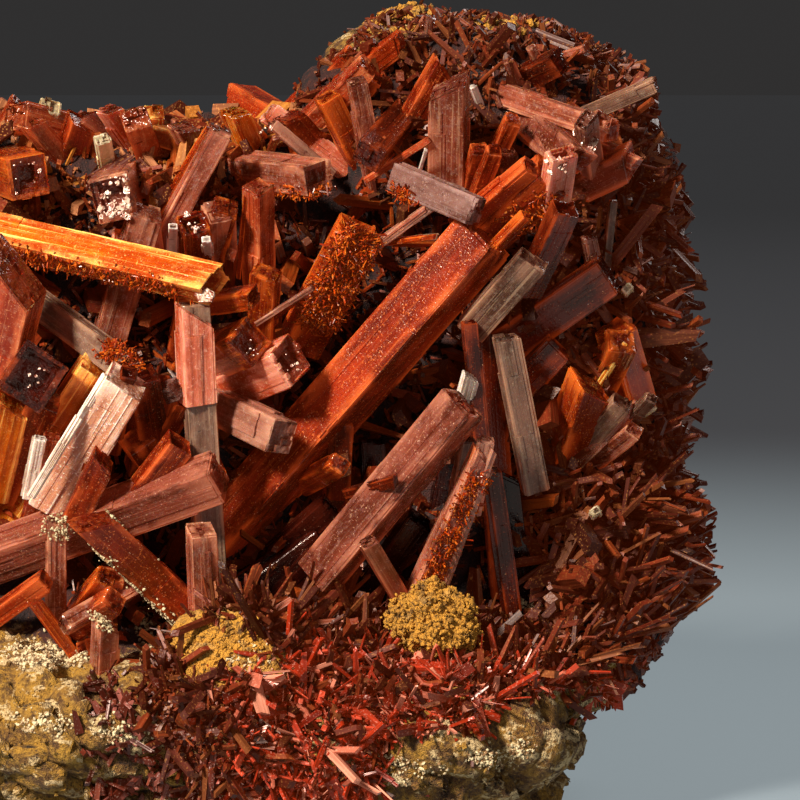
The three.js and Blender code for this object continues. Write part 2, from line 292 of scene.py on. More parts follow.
bare = np.maximum(bare, smooth_step(knob, 0, 0.3))
grown_over = np.max([inside(rock_at, name) for name in ("right_flank", "crown", "rear")], axis=0)
bare = np.maximum(bare, smooth_step(rock_at[:, 1], 8, 14) * (1 - smooth_step(grown_over, -0.05, 0.05)))
grown_over = np.maximum(inside(rock_at, "left"), inside(rock_at, "saddle"))
left_end = smooth_step(-rock_at[:, 0], 34, 38) * (1 - smooth_step(grown_over, -0.05, 0.05))
bare = np.maximum(bare, left_end)
right_sole = (1 - smooth_step(rock_at[:, 2], 12, 14)) * (1 - smooth_step(rock_at[:, 0], 38, 40))
bare = np.maximum(bare, right_sole * smooth_step(rock_at[:, 0], 26, 30))
for middle, reach in (([24, -20, 16], 4.8), ([9.5, -19.5, 14], 5.2), ([20, 2, 61], 4)):
    bare = np.maximum(bare, 1 - smooth_step(np.linalg.norm(rock_at - middle, axis=1), reach, reach + 1.5))
write_attribute(matrix.data, "bare", bare)
write_attribute(matrix.data, "ledge", ledge)
write_attribute(matrix.data, "fresh", smooth_step(knob, 0, 0.4))
bpy.ops.object.shade_smooth()

earth = Finish("limonite", {"IOR": 1.6, "Specular IOR Level": 0.35})
at = earth.place()
bare_share = earth.attribute("bare", 2)
broad = earth.noise(at, 0.16, 4)
middling = earth.noise(at, 0.7, 4, 0.6)
fine = earth.noise(at, 3.2, 4, 0.65)
fresh = earth.attribute("fresh", 2)
ochre = earth.mix(middling.between(0.38, 0.62), paint(0x5C3A10), paint(0xA87820))
ochre = earth.mix(earth.noise(at, 0.09, 3).between(0.5, 0.62) * 0.55, ochre, paint(0x5A3010))
# painted highlight: pale ochre on the raised grains of the fine bump
ochre = earth.mix(fine.between(0.5, 0.75) * 0.6, ochre, paint(0xC89A44))
ochre = earth.mix(fresh * middling.between(0.3, 0.5), ochre, paint(0xC88A28))
# painted shade: near-black in the pits of the fine bump
ochre = earth.mix(fine.between(0.48, 0.32) * 0.8, ochre, paint(0x2E1A0A))
ledge_share = earth.attribute("ledge", 2)
# painted shade: near-black in the crease at each ledge's step
ochre = earth.mix(ledge_share.between(0.16, 0.03) * middling.between(0.4, 0.55), ochre, paint(0x1E1006))
clay = earth.noise(at.scaled((1, 1, 1.7)), 0.5, 4, 0.68) + 0.14 * ledge_share
clay_share = clay.between(0.62, 0.69) * fine.between(0.35, 0.5) * (1 - 0.8 * fresh)
ochre = earth.mix(clay_share, ochre, paint(0xCCAC78))
crust = earth.mix(middling.between(0.35, 0.65), paint(0x1A0703), paint(0x3E1407))
crust = earth.mix(fine.between(0.56, 0.7) * 0.5, crust, paint(0x8A4614))
share = (bare_share + (broad - 0.5) * 1.1 + (fine - 0.5) * 0.5).between(0.4, 0.62)
matrix.data.materials.clear()
matrix.data.materials.append(
    earth.wear({
        "Base Color": earth.mix(share, crust, ochre),
        "Roughness": 0.95 - 0.2 * fine,
        "Normal": earth.bump(fine + 0.5 * middling + 0.4 * earth.noise(at, 9, 1), 0.6 * MM, 0.9),
    })
)
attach(matrix, "root")
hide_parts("matrix")

# ---------------------------------------------------------------------------------------
# Large prisms. Each is one crystal of lead chromate, four-sided and grooved along its length
# where thin laths lie side by side and stop short of each other. They grew from the matrix.


def pick(mesh, kind, chosen):
    """Selects these edges or faces of a mesh, and nothing else."""
    for parts in (mesh.vertices, mesh.edges, mesh.polygons):
        parts.foreach_set("select", np.zeros(len(parts), bool))
    parts = mesh.edges if kind == "EDGE" else mesh.polygons
    parts.foreach_set("select", np.asarray(chosen, bool))
    bpy.context.tool_settings.mesh_select_mode = (False, kind == "EDGE", kind == "FACE")


def edit(operation, **settings):
    """One operator in edit mode, on what is picked."""
    bpy.ops.object.mode_set(mode="EDIT")
    operation(**settings)
    bpy.ops.object.mode_set(mode="OBJECT")


def crystal_place(foot, tip, turn):
    """Where a crystal stands: its foot at the origin and its length along Z, placed in mm."""
    along = (Vector(tip) - Vector(foot)).normalized()
    side = along.cross(Vector((0, 1, 0))).normalized()
    front = along.cross(side)
    axes = Matrix((side, front, along)).transposed().to_4x4()
    return Matrix.Translation(foot) @ axes @ Matrix.Rotation(math.radians(turn), 4, "Z")


ROOT = 3.0  # how far a crystal runs on below its foot, in mm
LATH = 0.5  # the usual width of a lath, in mm
CELL = 1.7  # the usual length over which a lath keeps its height, in mm
EDGE = 0.06  # how far a crystal's edges are blunted, in mm
large_crystals = []  # where each stands, its half sizes and its length, for what grows between


def uneven(random, count):
    """Steps from 0 to 1, none of them quite alike."""
    widths = random.uniform(0.4, 1.7, count)
    return np.concatenate([[0], np.cumsum(widths)]) / widths.sum()


def raise_faces(mesh, chosen, height):
    """Lifts these faces off the crystal by a height, with walls round them."""
    pick(mesh, "FACE", chosen)
    settings = {"value": height}
    edit(bpy.ops.mesh.extrude_region_shrink_fatten, TRANSFORM_OT_shrink_fatten=settings)


def push_faces(mesh, chosen, depth):
    """Moves these end faces along the crystal, with walls round them."""
    pick(mesh, "FACE", chosen)
    settings = {"value": (0, 0, depth)}
    edit(bpy.ops.mesh.extrude_region_move, TRANSFORM_OT_translate=settings)


def striated_prism(name, foot, tip, wide, thick, turn, end, seed, steps=1.0):
    """One crystal of nested laths, its end square, slanted or hollow."""
    random = np.random.default_rng(seed)
    length = (Vector(tip) - Vector(foot)).length
    bpy.ops.object.select_all(action="DESELECT")
    bpy.ops.mesh.primitive_cube_add(size=1)
    crystal = bpy.context.active_object
    crystal.name = crystal.data.name = name
    mesh = crystal.data
    bpy.ops.object.mode_set(mode="EDIT")
    bpy.ops.mesh.select_all(action="SELECT")
    bpy.ops.transform.resize(value=(wide, thick, length + ROOT), center_override=(0, 0, 0))
    bpy.ops.transform.translate(value=(0, 0, (length - ROOT) / 2))
    bpy.ops.object.mode_set(mode="OBJECT")

    lath = min(LATH, 0.2 * thick)
    cells = [max(3, round(wide / lath)), max(3, round(thick / lath)), max(4, round(length / CELL))]
    for axis, count in enumerate(cells):
        ends = read(mesh.edges, "vertices", 2).astype(int)
        at = read(mesh.vertices, "co")
        runs = np.abs(at[ends[:, 0]] - at[ends[:, 1]])[:, axis] > 1e-4
        pick(mesh, "EDGE", runs)
        edit(bpy.ops.mesh.subdivide, number_cuts=count - 1)
    at = read(mesh.vertices, "co")
    low = np.array([-wide / 2, -thick / 2, -ROOT])
    size = np.array([wide, thick, length + ROOT])
    for axis in range(3):
        grid = np.rint((at[:, axis] - low[axis]) / size[axis] * cells[axis]).astype(int)
        at[:, axis] = low[axis] + size[axis] * uneven(random, cells[axis])[grid]
    mesh.vertices.foreach_set("co", at.ravel())
    mesh.update()
    on_side = np.abs(np.abs(at - low - size / 2) - size / 2) < 1e-4
    ends = read(mesh.edges, "vertices", 2).astype(int)
    rims = (on_side[ends[:, 0]] & on_side[ends[:, 1]]).sum(1) == 2
    pick(mesh, "EDGE", rims)
    edit(bpy.ops.mesh.bevel, offset=EDGE * random.uniform(0.6, 1.3), segments=1, affect="EDGES")

    # broad steps where a younger skin stops short of the tip, then single laths
    for height, broad in ((0.1, True), (0.06, True), (0.035, False), (0.05, False), (0.025, False)):
        centre = read(mesh.polygons, "center")
        facing = read(mesh.polygons, "normal")
        flat = np.abs(facing[:, :2]).max(1) > 0.9
        flat &= np.abs(centre[:, :2]).max(1) > 0.3 * min(wide, thick)
        sideways = np.abs(facing[:, 0]) > 0.7
        lath_at = np.where(sideways, centre[:, 1] / thick, centre[:, 0] / wide)
        face = np.rint(facing[:, 0] * 2 + facing[:, 1]).astype(int) + 2
        if broad:
            left = random.uniform(-0.8, 0.3, 5)
            right = left + random.uniform(0.35, 0.9, 5)
            until = random.uniform(0.15, 0.97, 5) * length
            chosen = (lath_at > left[face]) & (lath_at < right[face]) & (centre[:, 2] < until[face])
            chosen &= (random.random(5) < 0.65 * steps)[face]
        else:
            _, strip = np.unique(face * 1000 + np.rint(lath_at * 200), return_inverse=True)
            count = strip.max() + 1
            start = random.uniform(-1.2, 0.8, count) * length
            stop = start + random.uniform(0.5, 1.8, count) * length
            chosen = (random.random(count) < 0.42)[strip]
            chosen &= (centre[:, 2] > start[strip]) & (centre[:, 2] < stop[strip])
        chosen &= flat & (read(mesh.polygons, "area", 1)[:, 0] > 0.15)
        if chosen.any():
            raise_faces(mesh, chosen, height * steps * random.uniform(0.6, 1.2))

    def end_faces(reach):
        """The faces of the free end within this share of its width, and where they are."""
        centre = read(mesh.polygons, "center")
        top = (read(mesh.polygons, "normal")[:, 2] > 0.95) & (centre[:, 2] > length - 2.2)
        top &= read(mesh.polygons, "area", 1)[:, 0] > 0.02
        across = np.maximum(np.abs(centre[:, 0]) / wide, np.abs(centre[:, 1]) / thick) * 2
        return centre, top & (across < reach)

    if end == "hollow":
        for reach, depth in ((0.82, 0.14), (0.62, 0.2), (0.45, 0.22)):
            push_faces(mesh, end_faces(reach)[1], -depth * wide)
        for share, lift in ((0.35, 0.16), (0.2, 0.2)):
            centre, top = end_faces(2.0)
            rim = top & (centre[:, 2] > length - 0.1) & (random.random(len(top)) < share)
            push_faces(mesh, rim, lift)
    else:
        for step in (0.2, 0.14, -0.2):
            centre, top = end_faces(1.0)
            heading = random.uniform(0, 2 * math.pi)
            level = centre[:, 0] * math.cos(heading) + centre[:, 1] * math.sin(heading)
            level += random.uniform(-0.5, 0.5, len(level)) * lath
            chosen = top & (level > random.uniform(-0.3, 0.35) * wide)
            push_faces(mesh, chosen, step * random.uniform(0.5, 1.2))
    at = read(mesh.vertices, "co")
    slope = {"slant": 0.75, "square": 0.1, "hollow": 0.15}[end]
    near_end = smooth_step(at[:, 2], length - 0.75 * wide, length - 0.05 * wide)
    at[:, 2] += near_end * slope * (at[:, 0] - wide / 2)
    mesh.vertices.foreach_set("co", at.ravel())
    mesh.update()
    # The end faces and the inside of a hollow end, which the finish paints dark as shade.
    centre = read(mesh.polygons, "center")
    across = np.maximum(np.abs(centre[:, 0]) / wide, np.abs(centre[:, 1]) / thick) * 2
    cap = (read(mesh.polygons, "normal")[:, 2] > 0.5) | (across < 0.86)
    cap &= centre[:, 2] > 0.5 * length

    shift = random.uniform(-50, 50, 3)
    write_attribute(mesh, "grain", at + shift)
    write_attribute(mesh, "tone", np.full(len(at), random.random()))
    write_attribute(mesh, "cap", cap.astype(float), "FACE")
    # Nearness to the long edges, where the finish paints a lighter colour and a glow.
    from_faces = np.sort(np.abs(np.stack([
        wide / 2 - np.abs(at[:, 0]), thick / 2 - np.abs(at[:, 1]), length - at[:, 2]
    ], 1)), axis=1)
    write_attribute(mesh, "edge", 1 - smooth_step(from_faces[:, 1], 0.06, 0.22 * thick))
    place = crystal_place(foot, tip, turn)
    large_crystals.append((place, wide / 2, thick / 2, length))
    mesh.transform(Matrix.Scale(MM, 4) @ place)
    mesh.update()
    return crystal


GLASSY = {
    "IOR": 1.8,
    "Specular IOR Level": 0.25,
    "Specular Tint": (1.0, 0.8, 0.7, 1.0),
    "Subsurface Radius": (1.0, 0.16, 0.03),
}


def crocoite(
    name, deep, face, bright, film, flecks=0.5, streaks=0.4, dusty=0.3, gloss=0.12, glow=0.2, grooved=1.0
):
    """The look of one kind of crystal: glassy, finely grooved along its length and speckled."""
    # The subsurface weight glow is the crystal's real translucency; the emission that glow also sets is a
    # painted glow.
    fixed = {"Subsurface Weight": glow, "Subsurface Scale": 1.6 * MM, "Emission Strength": min(1.0, 6 * glow)}
    red = Finish(name, {**GLASSY, **fixed})
    grain = red.attribute("grain", 1)
    tone = red.attribute("tone", 2)
    cap = red.attribute("cap", 2)
    edge = red.attribute("edge", 2)
    bands = red.noise(grain.scaled((1, 1, 0.012)), 1.5, 2)
    threads = red.noise(grain.scaled((1, 1, 0.02)), 6, 2)
    cloudy = red.noise(grain.scaled((1, 1, 0.4)), 0.5, 3, 0.6)
    dust = red.noise(grain.scaled((1, 1, 0.7)), 2.2, 4, 0.75)
    grit = red.noise(grain, 9, 1, 0.6)
    specks = red.noise(grain, 4.5, 2, 0.7)
    lumps = red.noise(grain, 1.6, 2)
    dots = red.cells(grain, 4.6)
    body = bands * 0.35 + cloudy * 0.65 + (tone - 0.5) * 0.14
    base = red.mix(body.between(0.38, 0.62), paint(deep), paint(face))
    base = red.mix(threads.between(0.55, 0.66) * bands.between(0.4, 0.6) * streaks, base, paint(bright))
    base = red.mix(dust.between(0.48, 0.68) * dusty, base, paint(film))
    base = red.mix(grit.between(0.44, 0.34) * flecks * 0.7, base, paint(deep))
    base = red.mix(specks.between(0.58, 0.7) * flecks, base, paint(bright))
    # pale dots in the dusty patches: dust specks that also serve as painted sparkle
    base = red.mix(dots.between(0.24, 0.12) * dust.between(0.5, 0.64) * flecks, base, paint(0xF0B890))
    # painted shade: the end faces and the insides of hollow ends turn near-black red
    base = red.mix(cap * (0.9 - 0.5 * specks), base, paint(0x2A0502))
    # painted highlight and glow: near the edges the colour lightens and the emission brightens
    painted_rim_glow = edge * cloudy.between(0.42, 0.6)
    base = red.mix(painted_rim_glow * 0.6, base, paint(bright))
    return red.wear({
        "Base Color": base,
        "Roughness": gloss + 0.2 * dust * (1 - 0.7 * cap),
        # painted glow: a faint deep red emission over the whole crystal, brightest along the edges
        "Emission Color": red.mix(
            painted_rim_glow, red.mix(cloudy.between(0.4, 0.6), paint(0x1E0500), paint(0x380A02)), paint(0x6A2006)
        ),
        "Normal": red.bump(
            bands * 0.7 + threads * 0.3 * grooved + grit * 0.06, 0.1 * MM, 1.0,
            red.bump(specks * 0.12 + lumps * cap, 0.35 * MM, 0.8),
        ),
    })


KINDS = {
    "brick": crocoite("brick_crystal", 0x561003, 0x8A2407, 0xC4602C, 0x7A2E14, 0.8, 0.3, 0.4),
    "umber": crocoite("umber_crystal", 0x46180C, 0x703424, 0xA06C54, 0x7C5246, 0.7, 0.4, 0.5),
    "rust": crocoite("rust_crystal", 0x741C08, 0xAC4420, 0xCE8050, 0x9A6048, 0.6, 0.4, 0.5),
    "mauve": crocoite("mauve_crystal", 0x602412, 0x9A503A, 0xC08C6A, 0x947064, 0.5, 0.5, 0.55, 0.12, 0.16),
    "rose": crocoite("rose_crystal", 0xA03818, 0xC8684A, 0xECAE90, 0xD0947E, 0.5, 0.3, 0.4, 0.08, 0.3),
    "salmon": crocoite("salmon_crystal", 0x724030, 0x94604C, 0xB48A70, 0x8C6C5E, 0.4, 0.3, 0.6, 0.14, 0.15),
    "pale": crocoite("pale_crystal", 0x944A2C, 0xCC8A66, 0xFFF0D8, 0xA07468, 0.7, 1.0, 0.6, 0.12, 0.18),
    # pearl: whitish crystals; where one stands for a lit edge or a glint, its whiteness is a painted highlight
    "pearl": crocoite("pearl_crystal", 0xB08C74, 0xE8D4C0, 0xFFF4E4, 0xF0E0D0, 0.3, 0.4, 0.5, 0.08, 0.1),
    "cream": crocoite("cream_crystal", 0xB09060, 0xDCC898, 0xF4E8C4, 0xE8D8B0, 0.2, 0.2, 0.5, 0.3, 0.1),
    "tan": crocoite("tan_crystal", 0x5E2C0E, 0x8A5024, 0xB88848, 0x8A6A50, 0.5, 0.5, 0.5, 0.14, 0.15),
    "amber": crocoite("amber_crystal", 0x9A3204, 0xDA6A0A, 0xFFC868, 0xD08838, 0.4, 1.0, 0.35, 0.12, 0.3),
    "ember": crocoite("ember_crystal", 0x5C1203, 0x94300A, 0xD06A24, 0x80402A, 0.6, 0.35, 0.35, 0.08, 0.35),
    "grey": crocoite("grey_crystal", 0x42281C, 0x6C4E3E, 0x9A7A5E, 0x7A6656, 0.3, 0.6, 0.6, 0.2, 0.1),
    "slate": crocoite("slate_crystal", 0x4A281E, 0x735046, 0x9A8078, 0x7E665E, 0.4, 0.4, 0.6, 0.08, 0.1),
    # dark: crystals of deep colour, and painted shade on those that stand in shade or in hollows
    "dark": crocoite("dark_crystal", 0x200402, 0x461004, 0x863414, 0x2C0E07, 0.5, 0.4, 0.4, 0.05, 0.1),
    # shadow: painted shade, near-black crystals with no glow for those that stand in the pocket's shadow
    "shadow": crocoite("shadow_crystal", 0x0E0201, 0x240602, 0x4A160A, 0x1C0805, 0.4, 0.3, 0.4, 0.08, 0.0),
}

# name, foot, tip, width, thickness, turn, end, kind; in mm and degrees
LARGE = [
    ["amber_bar", [-20.6, -5, 48.1], [8.6, -20, 42.3], 2.5, 2.2, -35, "hollow", "amber"],
    ["great_diagonal", [8.6, -8.5, 22.5], [28.4, -15.5, 45.7], 3.7, 3.7, 62, "square", "brick"],
    ["broad_diagonal", [17.7, -15.5, 22.1], [26.8, -20, 33.6], 2.6, 3, 62, "square", "umber"],
    ["left_column", [-9.5, -13, 33], [-6, -20, 44.5], 4.4, 3.6, -10, "slant", "rust"],
    ["salmon_prism", [8.9, -13, 32.4], [13.4, -20, 31], 2.5, 2, 5, "square", "salmon"],
    ["pale_prism", [-2.9, -16, 27.7], [2, -20.5, 35.3], 3.1, 2.6, 7, "square", "pale"],
    ["short_post", [7.4, -17.5, 18.5], [7.4, -20.5, 24.2], 1.95, 1.8, 18, "square", "mauve"],
    ["ramp_prism", [5.1, -16, 18.3], [-1.1, -22, 25.5], 2.6, 2.4, 10, "slant", "brick"],
    ["long_ledge", [-11.9, -12, 20], [8.7, -20, 28.1], 3, 2.8, 30, "square", "umber"],
    ["tall_post", [7.9, -15, 18.9], [6.8, -18.5, 40.9], 2.2, 1.7, 12, "square", "grey"],
    ["smoky_hopper", [8, -9, 33.5], [14, -17, 36.5], 3, 2.8, 15, "hollow", "rose"],
    ["dusty_hopper", [6.5, -8, 35.5], [11, -18, 38], 2.8, 2.5, 20, "hollow", "ember"],
    ["rear_diagonal", [25.6, -8, 42.9], [33.5, -15, 50.3], 2.9, 2.6, 30, "square", "brick"],
    ["druse_diagonal", [15.5, -8, 39.2], [19.1, -13, 46.1], 3, 2.8, 20, "hollow", "ember"],
    ["olive_lath", [29, -15.5, 40.4], [32, -19, 44.1], 2.3, 1.2, 8, "square", "grey"],
    ["grey_leaner", [31.9, -12.5, 28.9], [30, -15.5, 38.2], 1.8, 1.3, 10, "square", "grey"],
    ["dark_post", [30, -9, 19], [28.5, -11, 39], 2, 1.9, 15, "slant", "dark"],
    ["striped_slab", [32.2, -9.5, 38.5], [38, -12, 42.7], 2.9, 1.7, 12, "square", "dark"],
    ["orange_block", [35.5, -9, 30.3], [36.8, -13, 35], 3.1, 2.6, 35, "slant", "ember"],
    ["flank_prism", [37, -4, 32], [39, -11, 37.5], 2.2, 2, 20, "square", "ember"],
    ["crusted_spar", [24, -15, 19.5], [28.5, -19, 30], 1.8, 1.6, 20, "slant", "mauve"],
    ["wide_hopper", [-7, -7, 34.5], [-5, -20, 35.5], 3.8, 4, 30, "hollow", "dark"],
    ["tawny_prism", [-7, -10, 26.5], [-0.5, -16, 36], 2.6, 2.4, 10, "square", "amber"],
    ["grey_lath", [-6.2, -10, 40.7], [1.8, -17.5, 35.9], 1.95, 1.4, 8, "square", "grey"],
    ["pink_column", [0, -9, 38.5], [3, -13.5, 47.5], 2.4, 2.2, 15, "square", "mauve"],
    ["crossing_blade", [23.8, -14, 49.3], [27.8, -18, 47.7], 1.9, 1.2, 8, "square", "slate"],
    ["upright_spear", [25.8, -9.5, 50.9], [25.8, -15, 57.6], 2.7, 2.3, 168, "slant", "mauve"],
    ["brow_prism", [30, -6, 56], [38, -13, 53.5], 1.6, 1.5, 20, "square", "umber"],
    ["glassy_prism", [32, -8, 54.5], [35.5, -17, 51], 2.3, 2, 25, "slant", "umber"],
    ["corner_wedge", [35.5, -6, 49], [40, -12, 51.5], 2.2, 1.8, 20, "slant", "umber"],
    ["crown_prism", [21.9, -7, 54], [19.7, -13, 51.6], 2.2, 1.9, 15, "square", "dark"],
    ["ridge_prism", [14, 4, 55], [18.5, -2, 59], 2, 1.8, 15, "square", "brick"],
    ["ruby_post", [11.2, -7, 42.3], [11.4, -12, 49.3], 1.75, 1.75, -42, "square", "rust"],
    ["level_prism", [9, -2, 50.5], [16, -13, 50], 2.3, 2.3, 20, "hollow", "mauve"],
    ["leaning_prism", [4, -7, 46.5], [8, -10, 53], 1.8, 1.6, 20, "square", "ember"],
    ["square_hopper", [0.5, 2, 49.5], [0.5, -14, 48.5], 3, 3.4, 15, "hollow", "mauve"],
    ["left_hopper", [-11.5, 4, 51], [-6, -12, 50], 3.2, 3, 20, "hollow", "ember"],
    ["saddle_prism", [10.5, 6, 55], [16, -4, 52], 2.6, 2.4, 20, "square", "brick"],
    ["skyline_prism", [-2.5, 0, 53], [-7.5, -7, 54.5], 2.2, 2, 20, "square", "rust"],
    # shade_prism stands in the pocket's shadow and is painted near black as shade.
    ["shade_prism", [8.5, -13.5, 17], [16, -12, 22.5], 2.2, 2, 20, "square", "shadow"],
    ["back_post", [17, -8, 21.5], [17.5, -12, 31.5], 1.8, 1.7, 15, "square", "dark"],
    ["slate_post", [-3.8, -16, 17.9], [-3.4, -19.5, 24.8], 1.4, 1.1, 8, "square", "mauve"],
    ["low_prism", [-3.5, -15, 15.5], [1, -21, 19], 1.8, 1.6, 20, "square", "brick"],
    ["glint_stub", [0, -20, 13], [0.5, -23, 18], 1.6, 1.6, 30, "slant", "mauve"],
    ["left_beam", [-16, -4, 29], [-36, -19, 41], 4, 3.4, 20, "square", "brick"],
    ["left_spar", [-24, -8, 20], [-35, -23, 29], 3, 2.7, 20, "slant", "mauve"],
    ["left_wedge", [-17, -10, 21], [-23, -22, 34], 3.2, 2.8, 15, "slant", "brick"],
    ["left_cross", [-39, -4, 24], [-20, -21, 25], 2.8, 2.5, -25, "hollow", "amber"],
    ["left_tower", [-29, 0, 40], [-35, -8, 56], 2.8, 2.6, 20, "square", "ember"],
    ["left_outer", [-33, 0, 30], [-47.3, -6, 37], 2.6, 2.4, 20, "square", "brick"],
    ["rear_beam", [-4, 14, 36], [13, 28, 46], 3.2, 2.8, 20, "square", "brick"],
    ["rear_tower", [-20, 16, 38], [-26, 26, 53], 2.8, 2.5, 20, "slant", "mauve"],
]
prisms = {}
for seed, (node, foot, tip, wide, thick, turn, end, kind) in enumerate(LARGE):
    prism = striated_prism(f"{node}_crystal", foot, tip, wide, thick, turn, end, 100 + seed)
    prisms[node] = prism, Vector(foot), Vector(tip)
    prism.data.materials.append(KINDS[kind])
    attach(prism, "root")
    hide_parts(node)

# ---------------------------------------------------------------------------------------
# Lesser prisms. More of the same crystals, too small or too deep to carry load: chips and
# blades that stand between the large ones, and a few as thin as pins. Same columns as above.

